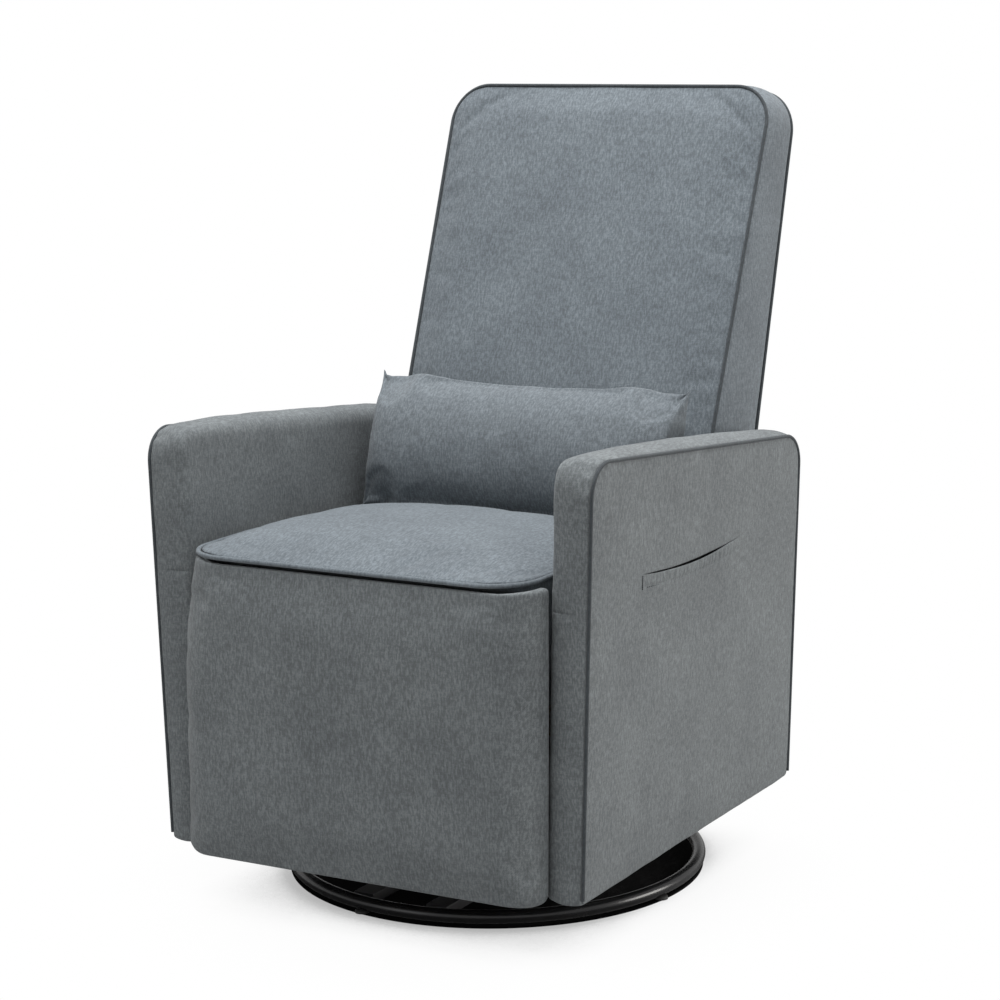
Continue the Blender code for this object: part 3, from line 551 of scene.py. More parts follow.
BODY_CLOTH = tweed("cloth_body", (0.144, 0.157, 0.162))
SEAT_CLOTH = tweed("cloth_seat", (0.136, 0.156, 0.172))
PILLOW_CLOTH = tweed("cloth_pillow", (0.136, 0.154, 0.168))
# The arm and back piping is darker than the covers to paint the shade of the seams it sits in; the cord
# is the covers' own cloth.
WELT_CLOTH_PAINTED_SHADE = tweed("cloth_welt_painted_shade", (0.050, 0.057, 0.062), contrast=0.7)
SEAT_WELT_CLOTH = tweed("cloth_seat_welt", (0.136, 0.156, 0.172), contrast=0.8)
LINING = tweed("cloth_lining", (0.035, 0.037, 0.040), contrast=0.5)
THREAD = plastic("thread_dark", (0.030, 0.034, 0.036), 0.8)
RING_PAINT = gloss_paint("paint_ring_gloss", (0.007, 0.007, 0.0075), 0.24, 0.12)
STEEL_PAINT = gloss_paint("paint_steel_satin", (0.022, 0.022, 0.024), 0.42, 0.0)
ZINC = zinc("zinc_plate")
PLYWOOD = plywood("plywood_bare")
WEBBING = webbing("webbing_woven")
PLASTIC = plastic("plastic_black", (0.018, 0.018, 0.019))
RUBBER = plastic("plastic_glide", (0.022, 0.022, 0.022), 0.6)


# ---- arms
def arm_top(y):
    share = (y - ARM_FRONT) / (ARM_REAR - ARM_FRONT)
    return ARM_TOP_FRONT + (ARM_TOP_REAR - ARM_TOP_FRONT) * share


def arm_lean(z):
    return ARM_LEAN * (z - ARM_BOTTOM) / (ARM_TOP_FRONT - ARM_BOTTOM)


def arm_reach(y, z):
    """How far points lie from the arm's middle towards its ends and edges, from 0 to 1."""
    along = 2 * (y - ARM_FRONT) / (ARM_REAR - ARM_FRONT) - 1
    up = 2 * (z - ARM_BOTTOM) / (arm_top(y) - ARM_BOTTOM) - 1
    return unit(np.abs(along)), unit(np.abs(up))


def arm_grid(inset, ys, zs, corner=ARM_CORNER):
    """The arm's side as (y, z), pulled in by inset; ys and zs are shares of its length and height."""
    front, rear = ARM_FRONT + inset, ARM_REAR - inset
    low, high = ARM_BOTTOM + min(inset, 0.004), ARM_TOP_FRONT - inset
    along, up = front + (rear - front) * ys, low + (high - low) * zs
    y, z = round_corners(along, up, 0.004, corner - inset * 0.6)
    drop = arm_top(y) - ARM_TOP_FRONT
    return y, z + drop * (z - low) / (high - low)


def arm_layer(side, x, inset, ys, zs, crown=0.0):
    share = unit((x - ARM_INNER) / (ARM_SKIN - ARM_INNER))
    corner = ARM_INNER_CORNER + (ARM_CORNER - ARM_INNER_CORNER) * share**1.5
    y, z = arm_grid(inset, ys, zs, corner)
    x = x + arm_lean(z)
    if crown:
        along, up = arm_reach(y, z)
        x = x + crown * (1 - along**8) * (1 - up**10)
    return xyz(side * x, y, z)


def build_arm_cover(name, side):
    seam = (ARM_SEAM_Z - ARM_BOTTOM) / (ARM_TOP_FRONT - ARM_BOTTOM)
    groove = 0.0030
    ys = (1 + crowd(56)) / 2
    zs = lines(0.0, 2, 0.012, 44, seam - groove, 2, seam, 2, seam + groove, 20, 0.94, 6, 1.0)
    strip = ARM_OUTER - ARM_INNER - ARM_EDGE
    layers = [arm_layer(side, ARM_INNER, ARM_EDGE, ys, zs, crown=-0.0015)]
    for turn in (18, 36, 54, 72, 90):
        angle = math.radians(turn)
        x, inset = ARM_INNER + ARM_EDGE * (1 - math.cos(angle)), ARM_EDGE * (1 - math.sin(angle))
        layers.append(arm_layer(side, x, inset, ys, zs))
    for share in (0.12, 0.26, 0.42, 0.58, 0.74, 0.87, 0.95):
        bulge = 0.0028 * math.sin(math.pi * share)
        layers.append(arm_layer(side, ARM_INNER + ARM_EDGE + strip * share, -bulge, ys, zs))
    for x, inset in ((ARM_OUTER - 0.0006, 0.0030), (ARM_OUTER - 0.0040, 0.0085)):
        layers.append(arm_layer(side, x, inset, ys, zs))
    layers.append(arm_layer(side, ARM_SKIN + 0.0003, 0.0095, ys, zs))
    obj = new_piece(f"arm_{name}_cover", stack(layers))
    co = points_of(obj)
    x, y, z = co.T
    across = (side * x - ARM_INNER - arm_lean(z)) / (ARM_OUTER - ARM_INNER)
    domed = 1 - arm_reach(y, z)[0] ** 3
    ridge = np.sin(np.pi * unit((across + 0.15) / 1.15))
    near_top = unit((z - arm_top(y) + 0.055) / 0.050)
    z += ARM_CROWN * domed * ridge * near_top**1.5
    corner = np.hypot(y - ARM_FRONT - 0.016, z - ARM_TOP_FRONT + 0.016)
    gather = bell(corner, 0.030) * unit((across - 0.45) / 0.4)
    around = np.arctan2(z - ARM_TOP_FRONT + 0.05, ARM_FRONT + 0.05 - y)
    co[:, 1:] -= (0.0011 * gather * np.cos(around * 16))[:, None] * np.array([-0.7, 0.7])
    front = unit(1 - (y - ARM_FRONT) / 0.010)
    reach = unit((0.66 - across) / 0.08)
    y += 0.0016 * front * bell(z - ARM_SEAM_Z, 0.0016) * reach
    set_points(obj, co)
    ruffle(obj, 0.0012, 0.055, seed=2.0 + side)
    ruffle(obj, 0.0005, 0.018, seed=5.0 + side)
    finish_piece(obj, BODY_CLOTH, "carriage", [f"arm_{name}_pad"], subdivide=1)


def arm_welt(name, side):
    ys, zs = (1 + crowd(90)) / 2, (1 + crowd(80)) / 2
    y, z = arm_grid(0.0010, ys, zs)
    path = border(xyz(side * (ARM_OUTER + 0.0002 + arm_lean(z)), y, z))[:-1]
    path = path[path[:, 2] > ARM_BOTTOM + 0.0045]
    obj = tube(f"arm_{name}_piping", path, WELT)
    finish_piece(obj, WELT_CLOTH_PAINTED_SHADE, "carriage", [f"arm_{name}_welt"])


def side_x(y, z):
    along, up = arm_reach(y, z)
    return ARM_OUTER + arm_lean(z) + SIDE_CROWN * ((1 - along**14) * (1 - up**14))


def slit_share(y):
    return unit((y - POCKET_FRONT) / (POCKET_REAR - POCKET_FRONT))


def slit_z(y):
    share = slit_share(y)
    return SLIT_Z + 0.0015 - 0.004 * share - SLIT_SAG * np.sin(np.pi * share)


def panel_edge(patch, rows, side):
    """Folds the panel's border inwards, under the piping."""
    loop = border(rows)
    centre = np.array([0.0, (ARM_FRONT + ARM_REAR) / 2, (ARM_BOTTOM + 0.6) / 2])
    inward = centre - loop
    inward[:, 0] = 0
    inward /= np.linalg.norm(inward, axis=1)[:, None]
    rings = [loop]
    for depth, pull in ((0.0014, 0.0002), (0.0034, 0.0024), (0.0060, 0.0060)):
        ring = loop + inward * pull
        ring[:, 0] -= side * depth
        rings.append(ring)
    patch.grid(rings)


def build_left_panel():
    """The outside of the left arm, with the pocket's slit."""
    length, height = ARM_REAR - ARM_FRONT, ARM_TOP_FRONT - ARM_BOTTOM
    start, end = (POCKET_FRONT - ARM_FRONT) / length, (POCKET_REAR - ARM_FRONT) / length
    mouth = (SLIT_Z + 0.012 - ARM_BOTTOM) / height
    near = HEM * 1.6 / height
    ys = lines(0.0, 3, 0.012, 22, start, 66, end, 30, 0.985, 4, 1.0)
    zs_low = lines(0.0, 3, 0.012, 46, mouth - near, 14, mouth)
    zs_high = lines(mouth, 5, mouth + near / 2, 20, 0.975, 5, 1.0)
    zs = np.concatenate([zs_low, zs_high[1:]])
    y, z = arm_grid(SIDE_INSET, ys, zs)
    row = len(zs_low) - 1
    first, last = int(np.argmin(np.abs(ys - start))), int(np.argmin(np.abs(ys - end)))
    shift = slit_z(y[:, row]) - z[:, row]
    reach = bell(z - z[:, row : row + 1], 0.060)
    z = z + shift[:, None] * reach
    opening = np.sin(np.pi * slit_share(y)) ** 0.6 * ((y > POCKET_FRONT) & (y < POCKET_REAR))
    below = np.clip(slit_z(y) - z, 0, None)
    gape = GAPE * opening * bell(below, 0.030)
    pucker = PUCKER * np.sin(2 * np.pi * y / PUCKER_PITCH + 2.2 * np.sin(y * 90)) * opening
    pucker = pucker * bell(below - HEM * 0.55, HEM * 0.5)
    stitch_line = -0.0010 * bell(below - HEM, 0.0016) * unit(opening * 3)
    x = side_x(y, z)
    low_x = x + gape + pucker + stitch_line
    low_z = z - GAPE * opening * bell(below, 0.012)
    upper = xyz(x, y, z)
    lower = xyz(low_x, y, low_z)
    patch = Patchwork()
    patch.grid(upper[:, row:])
    patch.grid(lower[:, : row + 1])
    whole = np.concatenate([lower[:, :row], upper[:, row:]], 1)
    panel_edge(patch, whole, 1)
    lip_up, lip_low = upper[first : last + 1, row], lower[first : last + 1, row]
    up_rows, low_rows = [lip_up], [lip_low]
    for dx, dz in ((-0.0012, -0.0004), (-0.0030, 0.0004), (-0.0100, 0.0010)):
        up_rows.append(lip_up + np.array([dx, 0, dz]))
    for dx, dz in ((-0.0008, 0.0006), (-0.0022, 0.0004), (-0.0030, -0.0016), (-0.0032, -0.0150)):
        low_rows.append(lip_low + np.array([dx, 0, dz]))
    patch.grid(up_rows)
    patch.grid(low_rows)
    obj = new_piece("arm_left_side_cover", patch)
    finish_side(obj, 1)
    ruffle(obj, 0.0009, 0.070, seed=9.0)
    nodes = ["arm_left_outer_panel", "arm_left_pocket_front"]
    finish_piece(obj, BODY_CLOTH, "carriage", nodes, subdivide=1)

    hem_y = np.linspace(POCKET_FRONT + 0.012, POCKET_REAR - 0.030, 90)
    hem_z = slit_z(hem_y) - HEM - 0.0020
    hem = xyz(side_x(hem_y, hem_z) + 0.0004, hem_y, hem_z)
    stitches("pocket_hem_stitches", hem, 0.0052, 0.0036, 0.0006)
    tack_z = np.linspace(slit_z(POCKET_FRONT) - 0.001, slit_z(POCKET_FRONT) - HEM - 0.004, 12)
    tack_y = POCKET_FRONT - 0.0005
    tack = xyz(side_x(tack_y, tack_z) + 0.0002, tack_y, tack_z)
    stitches("pocket_tack_stitches", tack, 0.0026, 0.0023, 0.0010)


def finish_side(obj, side):
    """Turns the panel's faces outwards: it is an open shell."""
    mesh = obj.data
    total = sum(face.normal.x * face.area for face in mesh.polygons)
    if total * side < 0:
        mesh.flip_normals()


def build_pocket_lining():
    """The pocket's flat bag, behind the slit."""
    ys = lines(POCKET_FRONT + 0.002, 40, POCKET_REAR - 0.002)
    back, front = [], []
    for share in np.linspace(0, 1, 24):
        z = slit_z(ys) - 0.0035 + (POCKET_FLOOR + 0.004 - slit_z(ys)) * share
        swell = math.sin(math.pi * min(share * 1.1, 1.0)) * 0.0012
        back_x, front_x = ARM_SKIN + 0.0022 + arm_lean(z), ARM_OUTER - 0.0042 + swell + arm_lean(z)
        back.append(xyz(back_x, ys, z + 0.006 * (1 - share)))
        front.append(xyz(front_x, ys, z - 0.004 * (1 - share)))
    patch = Patchwork()
    patch.grid(back)
    patch.grid(front)
    patch.grid([back[-1], front[-1]])
    for k in (0, -1):
        patch.grid([[row[k] for row in back], [row[k] for row in front]])
    obj = new_piece("arm_left_pocket_lining", patch, outward=False)
    finish_piece(obj, LINING, "carriage")


def in_cup(point):
    return all(abs(point[k + 1] - CUP_MIDDLE[k]) < CUP_HALF[k] - 0.001 for k in (0, 1))


def build_right_panel():
    """The outside of the right arm, with the release cup's opening."""
    ys = lines(0.0, 3, 0.012, 90, 0.985, 4, 1.0)
    zs = lines(0.0, 3, 0.012, 80, 0.975, 5, 1.0)
    y, z = arm_grid(SIDE_INSET, ys, zs)
    rows = xyz(-side_x(y, z), y, z)
    patch = Patchwork()
    patch.grid(rows, in_cup)
    panel_edge(patch, rows, -1)
    obj = new_piece("arm_right_side_cover", patch)
    finish_side(obj, -1)
    ruffle(obj, 0.0009, 0.070, seed=12.0)
    finish_piece(obj, BODY_CLOTH, "carriage", ["arm_right_outer_panel"], subdivide=1)


def plan_layer(place, half_u, half_v, radius, counts):
    u, v = round_corners(half_u * crowd(counts[0], 0.3), half_v * crowd(counts[1], 0.3), radius, radius)
    return place(u, v)


def build_release():
    """The moulded cup in the right arm and the flap that is pulled to let the footrest out."""
    (mid_y, mid_z), (half_y, half_z) = CUP_MIDDLE, CUP_HALF
    face = -(ARM_OUTER + arm_lean(mid_z))
    back = CUP_HIGH.x
    floor = back - 0.0030

    def layer(x, grow, radius):
        def place(u, v):
            tilt = ARM_LEAN / (ARM_TOP_FRONT - ARM_BOTTOM) * v
            return xyz(x - tilt, mid_y + u, mid_z + v)

        return plan_layer(place, half_y + grow, half_z + grow, radius, (26, 20))

    layers = [
        layer(floor, -0.0055, 0.005),
        layer(floor - 0.0008, -0.0040, 0.006),
        layer(face - 0.0022, -0.0030, 0.007),
        layer(face - 0.0046, -0.0018, 0.008),
        layer(face - 0.0056, 0.0010, 0.009),
        layer(face - 0.0054, 0.0045, 0.011),
        layer(face - 0.0042, 0.0068, 0.012),
        layer(face - 0.0020, 0.0072, 0.012),
        layer(face - 0.0010, 0.0020, 0.010),
        layer(back - 0.0002, -0.0006, 0.006),
    ]
    obj = new_piece("release_cup_moulding", stack(layers))
    finish_piece(obj, PLASTIC, "carriage", ["release_cup"], subdivide=1)

    low, high = (np.array(corner) - (0, SWIVEL_Y, 0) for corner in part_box("release_paddle"))
    centre = (low + high) / 2
    half_u, half_v = (high[1] - low[1]) / 2, (high[2] - low[2]) / 2

    def flap(depth, grow, radius):
        def place(u, v):
            share = v / half_v
            thin = 0.0014 * unit(-share) ** 2
            hook = 0.0012 * bell(share + 0.82, 0.16)
            x = low[0] + (high[0] - low[0]) * depth
            x = x + np.where(depth > 0.5, -thin, -hook)
            return xyz(x, centre[1] + u, centre[2] + v)

        return plan_layer(place, half_u + grow, half_v + grow, radius, (30, 16))

    depths = [(0.0, -0.0030, 0.004), (0.06, -0.0012, 0.005), (0.25, 0.0, 0.006)]
    depths += [(1 - depth, grow, radius) for depth, grow, radius in reversed(depths)]
    obj = new_piece("release_flap", stack([flap(*depth) for depth in depths]))
    finish_piece(obj, PLASTIC, "release", ["release_paddle"], subdivide=1)


# ---- seat
def build_seat():
    def sink(y):
        """The seat settles towards the back."""
        return -SEAT_SINK * unit((y + 0.22) / 0.31)

    def layer(z, half, front, rear, corner, crown=False):
        along = (front + rear) / 2 + (rear - front) / 2 * crowd(62)
        x, y = round_corners(half * crowd(64), along, corner, 0.008)
        height = z + (sink(y) if z > SEAT_LIP else 0)
        if crown:
            share = unit((y - front) / (rear - front))
            rise = 1 - (1 - np.minimum(share / 0.40, 1)) ** 2.2
            rise = rise * (1 - unit((share - 0.50) / 0.50) ** 1.6)
            side = unit(np.abs(x) / half)
            height = height + (0.003 * (1 - side**10) + 0.020 * (1 - side**2.2)) * rise
            front_roll = bell(share, 0.05) * unit(share / 0.012)
            height = height + 0.0025 * (1 - side**6) * front_roll
        return xyz(x, y, height)

    def rim(up, inset, back, short, crown=False):
        size = (SEAT_HALF - inset, SEAT_FRONT + back, SEAT_REAR - short, SEAT_CORNER)
        return layer(SEAT_EDGE_Z + up, *size, crown)

    layers = [
        rim(0.0014, 0.0030, 0.0022, 0.003, True),
        rim(-0.0006, 0.0036, 0.0034, 0.001),
        rim(-0.0030, 0.0026, 0.0042, 0.0),
        rim(-0.0060, 0.0060, 0.0120, 0.0),
    ]
    lower = (SEAT_FACE_HALF, SEAT_FACE, SEAT_REAR, SEAT_FACE_CORNER)
    layers += [layer(z, *lower) for z in (SEAT_LIP, SEAT_LIP - 0.040, SEAT_LOW.z + 0.006)]
    bottom = (SEAT_FACE_HALF - 0.006, SEAT_FACE + 0.006, SEAT_REAR - 0.006, 0.010)
    layers.append(layer(SEAT_LOW.z, *bottom))
    obj = new_piece("seat_cover", stack(layers))
    free = (points_of(obj)[:, 2] > SEAT_EDGE_Z + 0.0016).astype(float)
    puff(obj, free, pressure=2.6, most=0.010, grow=0.012)
    co = points_of(obj)
    x, y, z = co.T
    edge = bell(y - SEAT_FRONT, 0.030) * (z > SEAT_EDGE_Z + 0.001)
    z += 0.0006 * edge * np.sin(x * 2 * np.pi / 0.021 + 1.5 * np.sin(x * 40))
    set_points(obj, co)
    ruffle(obj, 0.0010, 0.060, weight=free, seed=21.0)
    finish_piece(obj, SEAT_CLOTH, "carriage", ["seat_cushion"], subdivide=1)

    front = SEAT_FRONT - SEAT_WELT_OUT
    half, corner = SEAT_HALF + SEAT_WELT_OUT, SEAT_CORNER + SEAT_WELT_OUT
    turn = np.linspace(0, np.pi / 2, 26)
    right_x, right_y = half - corner + corner * np.cos(turn), front + corner - corner * np.sin(turn)
    straight = np.linspace(half - corner, -half + corner, 90)[1:-1]
    side_y = np.linspace(SEAT_WELT_END, right_y[0], 24)[:-1]
    side = np.full(len(side_y), half)
    xs = np.concatenate([side, right_x, straight, -right_x[::-1], -side])
    ys = np.concatenate([side_y, right_y, np.full(len(straight), front), right_y[::-1], side_y[::-1]])
    path = xyz(xs, ys, SEAT_EDGE_Z - 0.0004 + sink(ys))
    obj = tube("seat_front_piping", path, SEAT_WELT)
    finish_piece(obj, SEAT_WELT_CLOTH, "carriage", ["seat_front_welt"])


# ---- footrest
def build_footrest():
    low, high, half = PANEL_LOW.z, PANEL_HIGH.z, PANEL_HALF

    def layer(turn, extra=0.0, y=None):
        angle = math.radians(turn)
        at = PANEL_FRONT + (PANEL_BACK - PANEL_FRONT) * (1 - math.cos(angle)) if y is None else y
        edge = PANEL_SMALL_ROUND * (1 - math.sin(angle)) + extra
        fall = PANEL_LIP_FALL * (at - PANEL_FRONT)
        top = SEAT_EDGE_Z - 0.0038 - fall - edge * 0.7
        across = (half - (PANEL_ROUND * (1 - math.sin(angle)) + extra)) * crowd(56)
        up = (low + edge + top) / 2 + (top - low - edge) / 2 * crowd(52)
        x, z = round_corners(across, up, 0.016, 0.003)
        share = (z - low) / (top - low)
        rim = unit((np.abs(x) / across[-1] - 0.89) / 0.06) * unit((share - 0.9) / 0.1)
        z = z + fall * rim
        taper = np.where(x < 0, 0.024, 0.001)
        waist = taper * unit((share - 0.52) / 0.48) ** 1.9
        waist = waist + np.where(x < 0, 0.003, -0.45 * arm_lean(z))
        x = x * (1 - waist / half)
        swell = 0.0065 * (1 - (2 * share - 1) ** 4) * math.cos(angle) ** 0.5 if turn < 90 else 0.0
        wide = 1 - unit(np.abs(x) / half) ** 6
        return xyz(x, at - swell * wide, z)

    layers = [layer(turn) for turn in (0, 12, 24, 36, 48, 60, 70, 80, 89)]
    behind = ((0.0, 0.0030), (0.0012, 0.0050), (0.0050, 0.0058), (0.0150, 0.0064))
    layers += [layer(90, inset, PANEL_BACK + out) for inset, out in behind]
    round_board = ((0.0170, 0.0004), (0.0200, 0.0012), (0.0560, 0.0010), (0.0570, 0.0002))
    layers += [layer(90, inset, BOARD_BACK + out) for inset, out in round_board]
    obj = new_piece("footrest_cover", stack(layers))
    _, y, z = points_of(obj).T
    free = ((y < PANEL_BACK - 0.002) & (z < high - 0.010) & (z > low + 0.012)).astype(float)
    puff(obj, free, pressure=2.2, most=0.006, grow=0.008)
    ruffle(obj, 0.0011, 0.070, weight=free, seed=31.0)
    finish_piece(obj, BODY_CLOTH, "footrest", ["footrest_pad"], subdivide=1)


# ---- back
def back_face(z, base, slope):
    return base + slope * (z - BACK_BASE_Z)


def back_layer(depth, inset, counts=(62, 80), crown=0.0):
    """The back's outline at a depth from its front (0) to its rear (1), pulled in by inset."""
    drawn_half = BACK_HALF + BACK_SPREAD * 0.2
    half = drawn_half - inset
    low_front, high_front = BACK_LOW[0] + inset, BACK_TOP[0] - inset
    up = (low_front + high_front) / 2 + (high_front - low_front) / 2 * crowd(counts[1])
    x, z = round_corners(half * crowd(counts[0]), up, 0.010, BACK_CORNER - inset * 0.6)
    share = (z - low_front) / (high_front - low_front)
    low = BACK_LOW[0] + (BACK_LOW[1] - BACK_LOW[0]) * depth + inset
    high = BACK_TOP[0] + (BACK_TOP[1] - BACK_TOP[0]) * depth - inset
    z = low + (high - low) * share
    wide = back_face(z, BACK_HALF, BACK_SPREAD)
    x = x * wide / drawn_half
    front_y = back_face(z, BACK_FRONT_Y, BACK_FRONT_SLOPE)
    y = front_y + (back_face(z, BACK_REAR_Y, BACK_REAR_SLOPE) - front_y) * depth
    if crown:
        a, b = np.abs(x) / wide, np.abs(2 * share - 1)
        y = y + crown * (1 - unit(a) ** 4) * (1 - unit(b) ** 6)
    return xyz(x, y, z)


def back_path(depth):
    """The piping's line round the back's outline at a depth, open along the bottom."""
    rows = back_layer(depth, 0.0008, (80, 110))
    return np.concatenate([rows[0, :], rows[1:-1, -1], rows[-1, ::-1]])


def build_back():
    outline = [(0.020, 0.0030), (0.040, 0.0004)]
    for depth in (0.12, 0.26, 0.42, 0.58, 0.74, 0.88):
        outline.append((depth, -BACK_BULGE * math.sin(math.pi * depth)))
    outline += [(0.955, 0.0004), (0.975, 0.0032), (0.975, 0.0075), (0.83, 0.0080)]
    layers = [back_layer(0.012, 0.0036, crown=-0.006)] + [back_layer(*step) for step in outline]
    obj = new_piece("back_cover", stack(layers))
    x, y, z = points_of(obj).T
    inside = np.abs(x) < back_face(z, BACK_HALF, BACK_SPREAD) - 0.0045
    inside &= (z < BACK_TOP[0] - 0.0050) & (z > BACK_LOW[0] + 0.006)
    free = (inside & (y < back_face(z, BACK_FRONT_Y, BACK_FRONT_SLOPE) + 0.0035)).astype(float)
    puff(obj, free, pressure=2.2, most=0.010, grow=0.010)
    ruffle(obj, 0.0010, 0.080, seed=41.0)
    finish_piece(obj, SEAT_CLOTH, "backrest", ["back_cushion"], subdivide=1)

    outline = ((1.000, 0.0034), (0.985, 0.0080), (0.915, 0.0100))
    layers = [back_layer(1.012, 0.0036, crown=0.006)] + [back_layer(*step) for step in outline]
    obj = new_piece("back_rear_cover", stack(layers))
    ruffle(obj, 0.0008, 0.090, seed=44.0)
    finish_piece(obj, BODY_CLOTH, "backrest", ["back_rear_panel"], subdivide=1)

    for end, depth in (("front", 0.012), ("rear", 0.985)):
        obj = tube(f"back_{end}_piping", back_path(depth), WELT)
        finish_piece(obj, WELT_CLOTH_PAINTED_SHADE, "backrest", [f"back_{end}_welt"])


# ---- rear apron
def build_apron():
    low, high = APRON_LOW, APRON_HIGH
    front, rear = low.y - SWIVEL_Y, high.y - SWIVEL_Y

    def layer(y, inset, crown=0.0):
        across = (high.x - inset) * crowd(50)
        up = (low.z + high.z) / 2 + (high.z - low.z - 2 * inset) / 2 * crowd(26)
        x, z = round_corners(across, up, 0.004, 0.004)
        x = x * (1 + (arm_lean(z) + 0.0012) / high.x)
        if crown:
            a, b = np.abs(x) / high.x, np.abs(2 * (z - low.z) / (high.z - low.z) - 1)
            y = y + crown * unit(1 - a**8) * unit(1 - b**8)
        return xyz(x, y, z)

    layers = [layer(rear, APRON_ROUND, 0.003)]
    for turn in (30, 60, 90):
        angle = math.radians(turn)
        y = rear - APRON_ROUND * (1 - math.cos(angle))
        layers.append(layer(y, APRON_ROUND * (1 - math.sin(angle))))
    layers.append(layer(front + 0.002, 0.0))
    layers.append(layer(front, 0.003))
    obj = new_piece("rear_apron_cover", stack(layers))
    ruffle(obj, 0.0010, 0.060, seed=51.0)
    finish_piece(obj, BODY_CLOTH, "carriage", ["rear_apron"], subdivide=1)


def build_rear_flap():
    """A loose strip of cloth that closes the slot between the apron and the reclining back."""
    across = APRON_HIGH.x * np.linspace(-0.955, 0.955, 60)
    foot = np.array((APRON_HIGH.y - SWIVEL_Y - 0.0100, APRON_HIGH.z - 0.012))
    head_z = BACK_LOW[1] + 0.014
    head = np.array((back_face(head_z, BACK_REAR_Y, BACK_REAR_SLOPE) - 0.0040, head_z))
    turned = np.array((head[1] - foot[1], foot[0] - head[0])) / np.linalg.norm(head - foot)
    faces = []
    for lift in (0.0, 0.0012):
        face = []
        for share in np.linspace(0, 1, 15):
            y, z = foot + (head - foot) * share + turned * (0.005 * math.sin(math.pi * share) + lift)
            wave = 0.0006 * math.sin(math.pi * share) * np.sin(across * 2 * np.pi / 0.11)
            face.append(xyz(across, y + wave, z))
        faces.append(face)
    patch = Patchwork()
    for face in faces:
        patch.grid(face)
    for k in (0, -1):
        patch.grid([faces[0][k], faces[1][k]])
        patch.grid([[row[k] for row in faces[0]], [row[k] for row in faces[1]]])
    obj = new_piece("rear_flap", patch)
    finish_piece(obj, BODY_CLOTH, None)
    middle = Vector((0, SWIVEL_Y, 0))
    start, end = Vector((0, *foot)) + middle, Vector((0, *head)) + middle
    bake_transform(obj)
    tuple(start)
    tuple(end)


# ---- pillow
def build_pillow():
    """A knife-edge lumbar pillow: two sheets sewn all round, with ears at the corners."""
    half_x, half_h, half_t = PILLOW_HALF
    u, v = np.meshgrid(crowd(84, 0.6), crowd(40, 0.9), indexing="ij")
    ear = np.abs(u) ** 14 * np.abs(v) ** 8
    x = u * (half_x + PILLOW_EAR[0] * ear - 0.004 * np.abs(u) ** 8 * (1 - v**2))
    up = v * (half_h + PILLOW_EAR[1] * ear - 0.005 * bell(np.abs(u) - 0.86, 0.10))
    swell = np.sqrt(unit((1 - np.abs(u) ** 6) * (1 - np.abs(v) ** 2.1)))
    c, s = math.cos(PILLOW_LEAN), math.sin(PILLOW_LEAN)
    patch = Patchwork()
    for face in (-1, 1):
        thick = face * half_t * swell
        patch.grid(xyz(x, thick * c + up * s, up * c - thick * s) + PILLOW_CENTRE)
    obj = new_piece("pillow_cover", patch)
    free = np.ones(len(obj.data.vertices))
    puff(obj, free, pressure=3.0, most=0.007, grow=0.012, stiffness=10.0)
    ruffle(obj, 0.0010, 0.030, seed=61.0)
    finish_piece(obj, PILLOW_CLOTH, "pillow", ["lumbar_pillow"], subdivide=1)


# ---- ring base
# Shares of the glide foot's radius, and heights.
GLIDE_PROFILE = (
    (0.0, 0.0), (0.80, 0.0), (0.97, 0.0006), (1.0, 0.0018), (0.96, 0.0038), (0.7, 0.0047), (0.0, 0.0047)
)


def build_ring():
    middle_z = (RING_LOW.z + RING_HIGH.z) / 2
    tube_r = (RING_HIGH.z - RING_LOW.z) / 2
    ring_r = RING_OUTER - tube_r
    angle = np.linspace(0, 2 * np.pi, 193)[:-1]
    path = xyz(ring_r * np.cos(angle), ring_r * np.sin(angle), middle_z)
    obj = tube("ring_tube", path, tube_r, sides=28, closed=True)
    finish_piece(obj, RING_PAINT, "base", ["base_ring"])

    for i in range(4):
        node = f"base_foot_{i + 1}"
        low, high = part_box(node)
        centre = np.array(((low.x + high.x) / 2, (low.y + high.y) / 2 - SWIVEL_Y))
        radius = (high.x - low.x) / 2
        turn = np.linspace(0, 2 * np.pi, 37)
        rings = []
        for share, z in GLIDE_PROFILE:
            x, y = centre[0] + radius * share * np.cos(turn), centre[1] + radius * share * np.sin(turn)
            rings.append(xyz(x, y, z))
        patch = Patchwork()
        patch.grid(rings)
        obj = new_piece(f"ring_glide_{i + 1}", patch)
        finish_piece(obj, RUBBER, "base", [node])


# ---- mechanism, from the CAD nodes
# The first row with a start that fits the node's name gives its look.
NODE_LOOKS = (
    (STEEL_PAINT, ("base_tube", "base_hub", "swivel_plate", "glide_", "carriage_", "leg_cross_tube")),
    (ZINC, ("bearing_", "swivel_bolt", "swing_link", "leg_", "back_bracket", "footrest_bracket")),
    (PLYWOOD, ("seat_rail", "arm_left_board", "arm_right_board", "back_board", "footrest_board")),
    (WEBBING, ("seat_webbing",)),
)


def dress_mechanism():
    for name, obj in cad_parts.items():
        if obj.hide_render:
            continue
        look = next((look for look, starts in NODE_LOOKS if name.startswith(starts)), None)
        if look is None:
            raise ValueError(f"no look for {name}")
        obj.data.materials.clear()
        obj.data.materials.append(look)
        weld = obj.modifiers.new("weld", "WELD")
        weld.merge_threshold = 0.00002
        bevel = obj.modifiers.new("edges", "BEVEL")
        bevel.width = 0.0008
        bevel.segments = 2
        bevel.limit_method = "ANGLE"
        bevel.angle_limit = math.radians(35)


# ---- studio
WORLD_LIGHT = 0.58
FLOOR_SIZE = 30.0
FLOOR_GREY = 0.42
